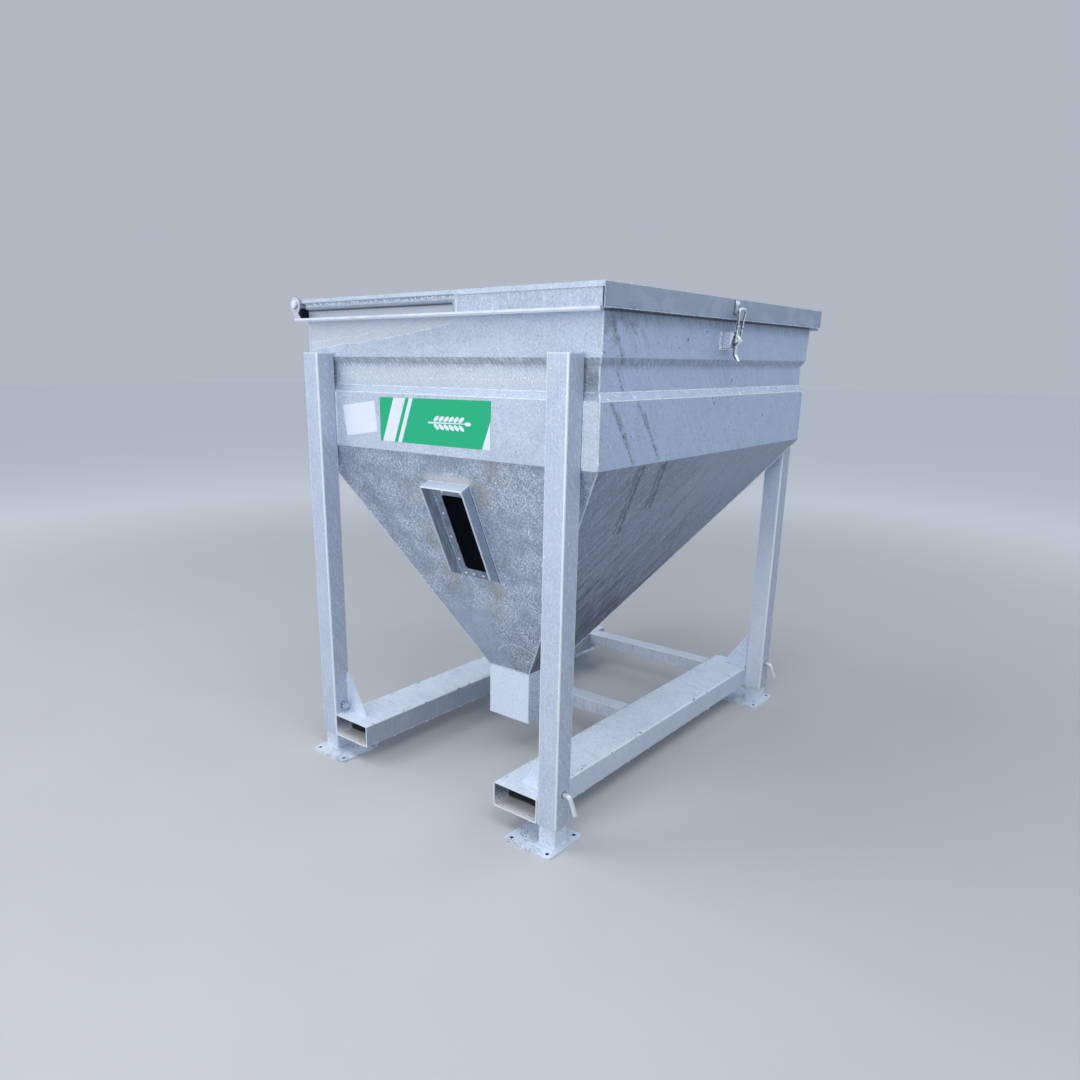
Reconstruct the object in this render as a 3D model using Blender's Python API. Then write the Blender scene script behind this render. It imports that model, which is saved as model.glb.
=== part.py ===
"""Grain silo: a galvanised feed bin that a forklift can carry.

A swaged rectangular bin stands on four square legs with telescoping feet.
Below it an off-centre hopper runs down to a square outlet, and two fork
channels join the legs near the ground.  A hinged lid is held by a toggle latch.
Metres, +Z up, front face towards -Y, origin on the ground at the middle.
"""

import math

import bmesh
import bpy
from mathutils import Matrix, Vector

# Whole machine
GAP = 0.0003
SHEET = 0.003
WELD = 0.00002

# Bin walls
BIN_HALF_X = 0.743
BIN_HALF_Y = 0.871
WALL_TOP = 2.0007
TOP_BAND_BOTTOM = 1.778
RECESS_TOP = 1.754
RECESS_BOTTOM = 1.668
LOWER_BAND_TOP = 1.640
RECESS_DEPTH = 0.016

# Hopper and outlet
HOPPER_TOP = 1.4145
HOPPER_BOTTOM = 0.4055
OUTLET_HALF_X = 0.1175
OUTLET_FRONT = -0.418
OUTLET_BACK = -0.186
OUTLET_BOTTOM = 0.1645
OUTLET_CORNER = 0.004

# Legs and feet
LEG_SIDE = 0.090
LEG_WALL = 0.005
LEG_INNER_X = 0.590
LEG_CENTRE_X = LEG_INNER_X + LEG_SIDE / 2
LEG_CENTRE_Y = BIN_HALF_Y + GAP + LEG_SIDE / 2
LEG_BOTTOM = 0.086
LEG_TOP = 1.793
LEG_CORNER = 0.008
FOOT_SIDE = 0.079
FOOT_WALL = 0.005
FOOT_CORNER = 0.007
FOOT_TOP = 0.330
PLATE_SIDE = 0.222
PLATE_THICK = 0.009
PLATE_OUTSET_X = 0.017
PLATE_OUTSET_Y = 0.062
PLATE_CORNER = 0.020
PLATE_HOLE = 0.007
PLATE_HOLE_INSET = 0.026

# Locking bolts through the legs
LOCK_Z = 0.2235
LOCK_RADIUS = 0.0095
LOCK_CLEARANCE = 0.0012
LOCK_REACH = 0.034
LOCK_BEND = 0.020
LOCK_TAIL = 0.155
LOCK_LEAN = 22
LOCK_INNER_END = 0.028
WASHER_RADIUS = 0.019
WASHER_THICK = 0.003
NUT_RADIUS = 0.0165
NUT_THICK = 0.016

# Fork channels and cross members
CHANNEL_WIDTH = 0.2133
CHANNEL_HEIGHT = 0.103
CHANNEL_WALL = 0.005
CHANNEL_CORNER = 0.007
CHANNEL_TOP = LEG_BOTTOM + CHANNEL_HEIGHT
MEMBER_WIDTH = 0.080
MEMBER_HEIGHT = 0.070
MEMBER_WALL = 0.004
MEMBER_CORNER = 0.006
MEMBER_Y = {"middle": 0.0, "rear": 0.848}

# Gussets
GUSSET_THICK = 0.008
GUSSET_BASE = 0.127
GUSSET_HEIGHT = 0.186
GUSSET_SNIP = 0.012
GUSSET_BLUNT = 0.006
GUSSET_SETBACK = 0.0055

# Sight window on the front of the hopper, measured down the slope from its top edge
WINDOW_LEFT = -0.0985
WINDOW_RIGHT = 0.1256
WINDOW_CENTRE = (WINDOW_LEFT + WINDOW_RIGHT) / 2
HOOD_TOP = -0.1212
HOOD_RIM_BOTTOM = -0.5363
HOOD_FOOT_BOTTOM = -0.585
HOOD_DEPTH = 0.052
FRAME_HALF_WIDTH = 0.0955
FRAME_TOP = -0.150
FRAME_BOTTOM = -0.583
FRAME_CORNER = 0.006
SLOT_HALF_WIDTH = 0.0625
SLOT_TOP = -0.179
SLOT_BOTTOM = -0.543
SLOT_CORNER = 0.018
CUTOUT_MARGIN = 0.007

# Rails and hinge ears
RAIL_TOP = 1.930
RAIL_WEB = 0.005
RAIL_LIP_BOTTOM = 1.916
RAIL_OUTER_Y = 0.926
RAIL_LEFT = -0.770
RAIL_RIGHT = 0.766
GUARD_X = -0.780
GUARD_TOP = 1.973
GUARD_THICK = 0.004
HINGE_X = -0.761
HINGE_Z = 1.986
EAR_RADIUS = 0.0325
EAR_THICK = 0.005
EAR_FOOT = ((-0.009, -0.0557), (0.030, -0.0557), (0.0145, -0.036))
EAR_ARC = (-45, 210)
HINGE_PIN_RADIUS = 0.008
HINGE_PIN_LENGTH = 0.032
HINGE_CLEARANCE = 0.0007
HINGE_HEAD = 0.0168
HINGE_HEAD_THICK = 0.009
PIN_POINT = 0.002

# Lid
LID_TOP = 2.004
LID_RIGHT = 0.7766
LID_HALF_Y = 0.9154
LIP_BOTTOM = 1.987
LID_TUBE_RADIUS = LID_TOP - SHEET - GAP - HINGE_Z
SKIRT_THICK = 0.005
SKIRT_LEFT = -0.706
SHALLOW_BOTTOM = 1.964
DEEP_BOTTOM = RAIL_TOP + GAP
SKIRT_STEP_X = 0.134
SKIRT_STEP_RADIUS = 0.012
SKIRT_RIGHT = 0.765
FASCIA_BOTTOM = 1.927

# Keeper on the lid, an upturned hook
KEEPER_TOP = 1.998
KEEPER_BOTTOM = 1.944
KEEPER_HALF_WIDTH = 0.017
KEEPER_PLATE = 0.004
KEEPER_REACH = 0.017
KEEPER_LIP = 0.014

# Toggle latch
BASE_HALF_WIDTH = 0.055
BASE_BOTTOM = 1.815
BASE_TOP = 1.884
BASE_PLATE = 0.004
RIB_INNER_Y = 0.030
RIB_THICK = 0.004
RIB_BOTTOM = 1.822
RIB_HUB = 0.009
PIVOT_X = 0.783
PIVOT_Z = 1.872
LEVER_HALF_WIDTH = 0.0125
LEVER_HUB = 0.009
LEVER_EDGE = (
    (0.018, -0.018),
    (0.018, -0.030),
    (0.008, -0.044),
    (0.007, -0.074),
    (0.020, -0.098),
    (0.017, -0.102),
    (0.001, -0.080),
    (-0.002, -0.044),
    (-0.007, -0.016),
)
BOW_PIVOT_X = 0.793
BOW_PIVOT_Z = 1.848
LATCH_PIN = 0.004
LATCH_CLEARANCE = 0.0006
BOW_ROD = 0.004
BOW_TOP_X = 0.805
BOW_TOP_Z = 1.966
BOW_HALF_TOP = 0.027
BOW_HALF_LOW = 0.021
BOW_CORNER = 0.012
BOW_NUT_Z = 1.902
BOW_NUT = 0.0072
BOW_NUT_THICK = 0.008
BOW_EYE = 0.008
BOW_EYE_HALF = 0.0065

# The middle of the whole width, from the hinge ear to the bow, is moved to the origin
MID_X = -(HINGE_X - EAR_RADIUS + BOW_TOP_X + BOW_ROD) / 2


def surface(name, colour, roughness, metallic):
    """Principled material with one colour, roughness and metallic value."""
    material = bpy.data.materials.new(name)
    material.use_nodes = True
    shader = material.node_tree.nodes["Principled BSDF"]
    shader.inputs["Base Color"].default_value = (*colour, 1.0)
    shader.inputs["Roughness"].default_value = roughness
    shader.inputs["Metallic"].default_value = metallic
    material.diffuse_color = (*colour, 1.0)
    return material


def publish(name, bm, material, pivot=(0.0, 0.0, 0.0)):
    """Turn a bmesh into a named object whose origin is at the pivot."""
    bmesh.ops.recalc_face_normals(bm, faces=bm.faces)
    bmesh.ops.translate(bm, verts=bm.verts, vec=-Vector(pivot))
    mesh = bpy.data.meshes.new(name)
    bm.to_mesh(mesh)
    bm.free()
    mesh.materials.append(material)
    mesh.shade_smooth()
    mesh.set_sharp_from_angle(angle=math.radians(35))
    item = bpy.data.objects.new(name, mesh)
    item.location = Vector(pivot) + Vector((MID_X, 0.0, 0.0))
    bpy.context.collection.objects.link(item)
    return item


def tool(name, bm):
    """Hidden solid that a Boolean modifier uses."""
    item = publish(name, bm, STEEL)
    item.hide_render = True
    item.display_type = "WIRE"
    return item


def combine(item, other, operation):
    """Exact Boolean between an object and a hidden solid."""
    modifier = item.modifiers.new(operation.title(), "BOOLEAN")
    modifier.operation = operation
    modifier.solver = "EXACT"
    modifier.object = other


def add_box(bm, low, high):
    """Axis-aligned box between two corners."""
    size = Vector(high) - Vector(low)
    middle = (Vector(high) + Vector(low)) / 2
    matrix = Matrix.Translation(middle) @ Matrix.Diagonal((*size, 1.0))
    bmesh.ops.create_cube(bm, size=1.0, matrix=matrix)


def add_cylinder(bm, start, end, radius, sides=24):
    """Closed cylinder between two points."""
    start, end = Vector(start), Vector(end)
    turn = (end - start).to_track_quat("Z", "Y").to_matrix().to_4x4()
    matrix = Matrix.Translation((start + end) / 2) @ turn
    bmesh.ops.create_cone(bm, cap_ends=True, segments=sides, radius1=radius,
                          radius2=radius, depth=(end - start).length, matrix=matrix)


def extrude(bm, faces, shift):
    """Extrude faces into a closed solid."""
    grown = bmesh.ops.extrude_face_region(bm, geom=faces)
    moved = [part for part in grown["geom"] if isinstance(part, bmesh.types.BMVert)]
    bmesh.ops.translate(bm, verts=moved, vec=shift)


def add_plate(bm, outline, place, start, stop):
    """Closed outline of (u, v) points extruded from start to stop."""
    face = bm.faces.new([bm.verts.new(place(u, v, start)) for u, v in outline])
    extrude(bm, [face], place(0.0, 0.0, stop) - place(0.0, 0.0, start))


def add_tube(bm, outer, inner, place, start, stop):
    """Open-ended tube: the ring between two outlines is bridged and extruded."""
    edges = []
    for outline in (outer, inner):
        verts = [bm.verts.new(place(u, v, start)) for u, v in outline]
        edges += [bm.edges.new(pair) for pair in zip(verts, verts[1:] + verts[:1])]
    ring = bmesh.ops.bridge_loops(bm, edges=edges)["faces"]
    extrude(bm, ring, place(0.0, 0.0, stop) - place(0.0, 0.0, start))


def add_loft(bm, near, far):
    """Closed solid between two loops of points with the same count."""
    near = [bm.verts.new(point) for point in near]
    far = [bm.verts.new(point) for point in far]
    bm.faces.new(near[::-1])
    bm.faces.new(far)
    for i in range(len(near)):
        j = (i + 1) % len(near)
        bm.faces.new((near[i], near[j], far[j], far[i]))


def add_rod(bm, route, radius):
    """Round bar along a route, from a bevelled curve with filled ends."""
    curve = bpy.data.curves.new("route", "CURVE")
    curve.dimensions = "3D"
    curve.bevel_depth = radius
    curve.bevel_resolution = 2
    curve.use_fill_caps = True
    spline = curve.splines.new("POLY")
    spline.points.add(len(route) - 1)
    for point, position in zip(spline.points, route):
        point.co = (*position, 1.0)
    item = bpy.data.objects.new("route", curve)
    bpy.context.collection.objects.link(item)
    depsgraph = bpy.context.evaluated_depsgraph_get()
    mesh = bpy.data.meshes.new_from_object(item.evaluated_get(depsgraph))
    bm.from_mesh(mesh)
    bmesh.ops.remove_doubles(bm, verts=bm.verts, dist=WELD)
    bpy.data.objects.remove(item)
    bpy.data.curves.remove(curve)
    bpy.data.meshes.remove(mesh)


def arc(centre, radius, first, last, steps):
    """Points on an arc between two angles in degrees, ends included."""
    points = []
    for step in range(steps + 1):
        angle = math.radians(first + (last - first) * step / steps)
        points.append((centre[0] + radius * math.cos(angle), centre[1] + radius * math.sin(angle)))
    return points


def rounded_rectangle(half_u, half_v, radius, steps=2, centre=(0.0, 0.0)):
    """Outline of a rectangle with rounded corners, anticlockwise."""
    points = []
    for quarter, (sign_u, sign_v) in enumerate(((1, 1), (-1, 1), (-1, -1), (1, -1))):
        corner = (centre[0] + sign_u * (half_u - radius), centre[1] + sign_v * (half_v - radius))
        points += arc(corner, radius, 90 * quarter, 90 * quarter + 90, steps)
    return points


def upright(x, y):
    """Placement of (u, v, height) points around a vertical line."""
    return lambda u, v, w: Vector((x + u, y + v, w))


def along_x(y, z):
    """Placement of (u, v, length) points around a line along X."""
    return lambda u, v, w: Vector((w, y + u, z + v))


def along_y(x, z, sign=1):
    """Placement of (u, v, length) points around a line along Y, or along -Y."""
    return lambda u, v, w: Vector((x + u, sign * w, z + v))


def offset_profile(points, thickness):
    """Inner copy of an open profile, moved inwards by the sheet thickness."""
    moved = []
    for i, point in enumerate(points):
        here = Vector(point)
        before = (here - Vector(points[i - 1])).normalized() if i else None
        after = (Vector(points[i + 1]) - here).normalized() if i + 1 < len(points) else None
        normals = [Vector((d.y, -d.x)) for d in (before, after) if d is not None]
        middle = sum(normals, Vector((0.0, 0.0))).normalized()
        moved.append(here + middle * thickness / middle.dot(normals[0]))
    return moved


def wall(name, half_length, place, material):
    """Swaged wall: a proud top band, a recess and a proud lower band, mitred at both ends."""
    outer = [
        (0.0, HOPPER_TOP + GAP),
        (0.0, LOWER_BAND_TOP),
        (RECESS_DEPTH, RECESS_BOTTOM),
        (RECESS_DEPTH, RECESS_TOP),
        (0.0, TOP_BAND_BOTTOM),
        (0.0, WALL_TOP),
    ]
    section = outer + [tuple(p) for p in reversed(offset_profile(outer, SHEET))]
    ends = [[place(side * (half_length - depth - GAP), depth, z) for depth, z in section] for side in (-1, 1)]
    bm = bmesh.new()
    add_loft(bm, *ends)
    publish(name, bm, material)


def hopper_corners(inset):
    """Rectangles at the top and bottom of the hopper, moved inwards by a plate thickness."""
    drop = HOPPER_TOP - HOPPER_BOTTOM
    runs = {
        "left": (BIN_HALF_X - OUTLET_HALF_X),
        "right": (BIN_HALF_X - OUTLET_HALF_X),
        "front": BIN_HALF_Y + OUTLET_FRONT,
        "back": BIN_HALF_Y - OUTLET_BACK,
    }
    shift = {side: inset * math.hypot(run, drop) / drop for side, run in runs.items()}
    top = (-BIN_HALF_X + shift["left"], BIN_HALF_X - shift["right"],
           -BIN_HALF_Y + shift["front"], BIN_HALF_Y - shift["back"])
    bottom = (-OUTLET_HALF_X + shift["left"], OUTLET_HALF_X - shift["right"],
              OUTLET_FRONT + shift["front"], OUTLET_BACK - shift["back"])
    return top, bottom


def hopper_panel(side, material):
    """One sloping plate of the hopper, mitred against its neighbours."""
    levels = []
    for inset in (0.0, SHEET):
        for (left, right, front, back), z in zip(hopper_corners(inset), (HOPPER_TOP, HOPPER_BOTTOM + GAP)):
            ends = {
                "front": ((left + GAP, front), (right - GAP, front)),
                "back": ((right - GAP, back), (left + GAP, back)),
                "right": ((right, front + GAP), (right, back - GAP)),
                "left": ((left, back - GAP), (left, front + GAP)),
            }[side]
            levels.append([(x, y, z) for x, y in ends])
    outer_top, outer_bottom, inner_top, inner_bottom = levels
    bm = bmesh.new()
    add_loft(bm, outer_top + outer_bottom[::-1], inner_top + inner_bottom[::-1])
    return publish(f"hopper_{side}", bm, material)


def slope_place():
    """Placement of (across, up the slope, outwards) points on the hopper's front plate."""
    run = BIN_HALF_Y + OUTLET_FRONT
    drop = HOPPER_TOP - HOPPER_BOTTOM
    length = math.hypot(run, drop)
    up = Vector((0.0, -run / length, drop / length))
    out = Vector((0.0, -drop / length, -run / length))
    origin = Vector((0.0, -BIN_HALF_Y, HOPPER_TOP))
    return lambda u, v, w: origin + Vector((u, 0.0, 0.0)) + up * v + out * w


def build_bin(sheet, hopper_sheet):
    """Four swaged walls and the four plates of the hopper."""
    wall("wall_front", BIN_HALF_X, lambda s, d, z: (s, -BIN_HALF_Y + d, z), sheet)
    wall("wall_back", BIN_HALF_X, lambda s, d, z: (s, BIN_HALF_Y - d, z), sheet)
    wall("wall_left", BIN_HALF_Y, lambda s, d, z: (-BIN_HALF_X + d, s, z), sheet)
    wall("wall_right", BIN_HALF_Y, lambda s, d, z: (BIN_HALF_X - d, s, z), sheet)
    panels = {side: hopper_panel(side, hopper_sheet) for side in ("front", "back", "left", "right")}
    return panels["front"]


def build_outlet(material):
    """Square outlet below the hopper, open at both ends."""
    half_y = (OUTLET_BACK - OUTLET_FRONT) / 2
    outer = rounded_rectangle(OUTLET_HALF_X, half_y, OUTLET_CORNER, 1)
    inner = rounded_rectangle(OUTLET_HALF_X - SHEET, half_y - SHEET, OUTLET_CORNER - SHEET, 1)
    bm = bmesh.new()
    add_tube(bm, outer, inner, upright(0.0, (OUTLET_FRONT + OUTLET_BACK) / 2), OUTLET_BOTTOM, HOPPER_BOTTOM)
    publish("outlet_chute", bm, material)


def build_window(front_panel, sheet, pane_material):
    """Sight window: a hood with two cheeks round a slotted frame, with a clear pane behind it."""
    place = slope_place()
    centre = (WINDOW_CENTRE, (SLOT_TOP + SLOT_BOTTOM) / 2)
    slot_half = (SLOT_TOP - SLOT_BOTTOM) / 2

    hole = rounded_rectangle(SLOT_HALF_WIDTH + CUTOUT_MARGIN, slot_half + CUTOUT_MARGIN,
                             SLOT_CORNER, 2, centre)
    bm = bmesh.new()
    add_plate(bm, hole, place, -2 * SHEET, SHEET)
    combine(front_panel, tool("cut_window_hole", bm), "DIFFERENCE")

    margin = CUTOUT_MARGIN - 2 * GAP
    glazing = rounded_rectangle(SLOT_HALF_WIDTH + margin, slot_half + margin, SLOT_CORNER, 2, centre)
    bm = bmesh.new()
    add_plate(bm, glazing, place, -SHEET, -GAP)
    publish("window_pane", bm, pane_material)

    edge = rounded_rectangle(FRAME_HALF_WIDTH, (FRAME_TOP - FRAME_BOTTOM) / 2, FRAME_CORNER, 1,
                             (WINDOW_CENTRE, (FRAME_TOP + FRAME_BOTTOM) / 2))
    bm = bmesh.new()
    add_plate(bm, edge, place, GAP, GAP + SHEET)
    frame = publish("window_frame", bm, sheet)
    slot = rounded_rectangle(SLOT_HALF_WIDTH, slot_half, SLOT_CORNER, 4, centre)
    bm = bmesh.new()
    add_plate(bm, slot, place, -SHEET, 3 * SHEET)
    combine(frame, tool("cut_window_slot", bm), "DIFFERENCE")

    cheek = [(HOOD_TOP, GAP), (HOOD_TOP, HOOD_DEPTH), (HOOD_RIM_BOTTOM, HOOD_DEPTH), (HOOD_FOOT_BOTTOM, GAP)]
    bm = bmesh.new()
    add_plate(bm, cheek, lambda v, w, u: place(u, v, w), WINDOW_LEFT, WINDOW_RIGHT)
    hood = publish("window_hood", bm, sheet)
    below = HOOD_FOOT_BOTTOM - HOOD_DEPTH
    room = [(WINDOW_LEFT + SHEET, HOOD_TOP - SHEET), (WINDOW_LEFT + SHEET, below),
            (WINDOW_RIGHT - SHEET, below), (WINDOW_RIGHT - SHEET, HOOD_TOP - SHEET)]
    bm = bmesh.new()
    add_plate(bm, room, place, -SHEET, HOOD_DEPTH + SHEET)
    combine(hood, tool("cut_hood_room", bm), "DIFFERENCE")


def build_leg(end, side, material, fastener):
    """Leg sleeve and telescoping foot at one corner, pinned together by a bent bolt."""
    sign_x = -1 if side == "left" else 1
    sign_y = -1 if end == "front" else 1
    x, y = sign_x * LEG_CENTRE_X, sign_y * LEG_CENTRE_Y
    tag = f"{end}_{side}"

    half = LEG_SIDE / 2
    bm = bmesh.new()
    add_plate(bm, rounded_rectangle(half, half, LEG_CORNER), upright(x, y), LEG_BOTTOM, LEG_TOP)
    leg = publish(f"leg_{tag}", bm, material)
    half = LEG_SIDE / 2 - LEG_WALL
    bm = bmesh.new()
    add_plate(bm, rounded_rectangle(half, half, LEG_CORNER - LEG_WALL), upright(x, y), 0.0, LEG_TOP - LEG_WALL)
    combine(leg, tool(f"cut_leg_inside_{tag}", bm), "DIFFERENCE")

    half = FOOT_SIDE / 2
    outer = rounded_rectangle(half, half, FOOT_CORNER)
    inner = rounded_rectangle(half - FOOT_WALL, half - FOOT_WALL, FOOT_CORNER - FOOT_WALL)
    bm = bmesh.new()
    add_tube(bm, outer, inner, upright(x, y), PLATE_THICK / 2, FOOT_TOP)
    foot = publish(f"foot_{tag}", bm, material)

    half = PLATE_SIDE / 2
    plate_x = sign_x * (LEG_CENTRE_X + LEG_SIDE / 2 + PLATE_OUTSET_X - half)
    plate_y = sign_y * (LEG_CENTRE_Y + LEG_SIDE / 2 + PLATE_OUTSET_Y - half)
    bm = bmesh.new()
    add_plate(bm, rounded_rectangle(half, half, PLATE_CORNER, 3), upright(plate_x, plate_y), 0.0, PLATE_THICK)
    combine(foot, tool(f"join_plate_{tag}", bm), "UNION")

    bm = bmesh.new()
    reach = half - PLATE_HOLE_INSET
    for hole_x in (plate_x - reach, plate_x + reach):
        for hole_y in (plate_y - reach, plate_y + reach):
            add_cylinder(bm, (hole_x, hole_y, -PLATE_THICK), (hole_x, hole_y, 2 * PLATE_THICK), PLATE_HOLE, 16)
    combine(foot, tool(f"cut_plate_holes_{tag}", bm), "DIFFERENCE")

    bm = bmesh.new()
    add_cylinder(bm, (x - LEG_SIDE, y, LOCK_Z), (x + LEG_SIDE, y, LOCK_Z), LOCK_RADIUS + LOCK_CLEARANCE, 16)
    bore = tool(f"cut_lock_bore_{tag}", bm)
    combine(leg, bore, "DIFFERENCE")
    combine(foot, bore, "DIFFERENCE")

    build_lock_bolt(tag, sign_x, y, fastener)
    build_gusset(tag, sign_x, sign_y, material)


def build_lock_bolt(tag, sign_x, y, material):
    """Rod through the leg, bent down and outwards on the outer side, with a washer and a nut on the inner side."""
    bend_x = LEG_CENTRE_X + LEG_SIDE / 2 + LOCK_REACH - LOCK_BEND
    face = LEG_INNER_X - GAP
    bend = arc((bend_x, LOCK_Z - LOCK_BEND), LOCK_BEND, 90, LOCK_LEAN, 6)
    tail_x = bend[-1][0] + (bend[-1][1] - LOCK_TAIL) * math.tan(math.radians(LOCK_LEAN))
    route = [(face - LOCK_INNER_END, LOCK_Z)] + bend + [(tail_x, LOCK_TAIL)]
    bm = bmesh.new()
    add_rod(bm, [(sign_x * along, y, height) for along, height in route], LOCK_RADIUS)
    bolt = publish(f"lock_bolt_{tag}", bm, material)

    bm = bmesh.new()
    add_cylinder(bm, (sign_x * face, y, LOCK_Z), (sign_x * (face - WASHER_THICK), y, LOCK_Z), WASHER_RADIUS)
    combine(bolt, tool(f"join_washer_{tag}", bm), "UNION")
    bm = bmesh.new()
    near = face - WASHER_THICK / 2
    add_cylinder(bm, (sign_x * near, y, LOCK_Z), (sign_x * (near - NUT_THICK), y, LOCK_Z), NUT_RADIUS, 6)
    combine(bolt, tool(f"join_nut_{tag}", bm), "UNION")


def build_gusset(tag, sign_x, sign_y, material):
    """Triangular plate standing on the fork channel against the leg's inner face."""
    outline = [
        (GUSSET_SNIP, 0.0),
        (GUSSET_BASE, 0.0),
        (GUSSET_BASE, GUSSET_BLUNT),
        (GUSSET_BLUNT, GUSSET_HEIGHT),
        (0.0, GUSSET_HEIGHT),
        (0.0, GUSSET_SNIP),
    ]
    near = BIN_HALF_Y + GUSSET_SETBACK
    bm = bmesh.new()
    add_plate(bm, [(sign_x * (LEG_INNER_X - GAP - u), v) for u, v in outline],
              along_y(0.0, CHANNEL_TOP + GAP, sign_y), near, near + GUSSET_THICK)
    publish(f"gusset_{tag}", bm, material)


def build_fork_channel(side, material):
    """Rectangular tube that a fork slides into, from the front legs to the rear legs."""
    sign_x = -1 if side == "left" else 1
    centre_x = sign_x * (LEG_INNER_X - GAP - CHANNEL_WIDTH / 2)
    half_w, half_h = CHANNEL_WIDTH / 2, CHANNEL_HEIGHT / 2
    outer = rounded_rectangle(half_w, half_h, CHANNEL_CORNER)
    inner = rounded_rectangle(half_w - CHANNEL_WALL, half_h - CHANNEL_WALL, CHANNEL_CORNER - CHANNEL_WALL)
    reach = LEG_CENTRE_Y + LEG_SIDE / 2
    bm = bmesh.new()
    add_tube(bm, outer, inner, along_y(centre_x, LEG_BOTTOM + half_h), -reach, reach)
    publish(f"fork_channel_{side}", bm, material)


def build_cross_member(name, y, material):
    """Rectangular tube between the two fork channels."""
    reach = LEG_INNER_X - CHANNEL_WIDTH - 2 * GAP
    half_w, half_h = MEMBER_WIDTH / 2, MEMBER_HEIGHT / 2
    outer = rounded_rectangle(half_w, half_h, MEMBER_CORNER)
    inner = rounded_rectangle(half_w - MEMBER_WALL, half_h - MEMBER_WALL, MEMBER_CORNER - MEMBER_WALL)
    bm = bmesh.new()
    add_tube(bm, outer, inner, along_x(y, CHANNEL_TOP - half_h), -reach, reach)
    publish(f"cross_member_{name}", bm, material)


def build_rail(end, material):
    """Folded angle along the front or back wall below the lid."""
    sign_y = -1 if end == "front" else 1
    near = BIN_HALF_Y + GAP
    outline = [
        (near, RAIL_TOP - RAIL_WEB),
        (RAIL_OUTER_Y - RAIL_WEB, RAIL_TOP - RAIL_WEB),
        (RAIL_OUTER_Y - RAIL_WEB, RAIL_LIP_BOTTOM),
        (RAIL_OUTER_Y, RAIL_LIP_BOTTOM),
        (RAIL_OUTER_Y, RAIL_TOP),
        (near, RAIL_TOP),
    ]
    bm = bmesh.new()
    add_plate(bm, [(sign_y * y, z) for y, z in outline], along_x(0.0, 0.0), RAIL_LEFT, RAIL_RIGHT)
    publish(f"rail_{end}", bm, material)


def build_hinge_guard(material):
    """Angle along the left wall whose upstand covers the lid's hinge tube from the side, from ear to ear."""
    near = -BIN_HALF_X - GAP
    outline = [
        (near, RAIL_TOP - RAIL_WEB),
        (near, RAIL_TOP),
        (GUARD_X + GUARD_THICK, RAIL_TOP),
        (GUARD_X + GUARD_THICK, GUARD_TOP),
        (GUARD_X, GUARD_TOP),
        (GUARD_X, RAIL_TOP - RAIL_WEB),
    ]
    bm = bmesh.new()
    reach = BIN_HALF_Y
    add_plate(bm, outline, along_y(0.0, 0.0), -reach, reach)
    guard = publish("hinge_guard", bm, material)
    ear = RAIL_OUTER_Y - EAR_THICK - GAP
    bm = bmesh.new()
    add_box(bm, (GUARD_X, -ear, RAIL_TOP), (GUARD_X + GUARD_THICK, ear, GUARD_TOP))
    combine(guard, tool("join_guard_upstand", bm), "UNION")


def build_hinge_ear(end, material):
    """Rounded ear on the rail's end with the lid's pivot bolt through it."""
    sign_y = -1 if end == "front" else 1
    outline = list(EAR_FOOT) + arc((0.0, 0.0), EAR_RADIUS, *EAR_ARC, 17)
    outer = RAIL_OUTER_Y
    bm = bmesh.new()
    add_plate(bm, outline, along_y(HINGE_X, HINGE_Z, sign_y), outer - EAR_THICK, outer)
    ear = publish(f"hinge_ear_{end}", bm, material)
    head_end = outer + HINGE_HEAD_THICK
    bm = bmesh.new()
    add_cylinder(bm, (HINGE_X, sign_y * (outer - EAR_THICK / 2), HINGE_Z),
                 (HINGE_X, sign_y * head_end, HINGE_Z), HINGE_HEAD, 6)
    combine(ear, tool(f"join_head_{end}", bm), "UNION")
    bm = bmesh.new()
    add_cylinder(bm, (HINGE_X, sign_y * (head_end + PIN_POINT), HINGE_Z),
                 (HINGE_X, sign_y * (outer - HINGE_PIN_LENGTH), HINGE_Z), HINGE_PIN_RADIUS, 20)
    combine(ear, tool(f"join_pin_{end}", bm), "UNION")


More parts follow.
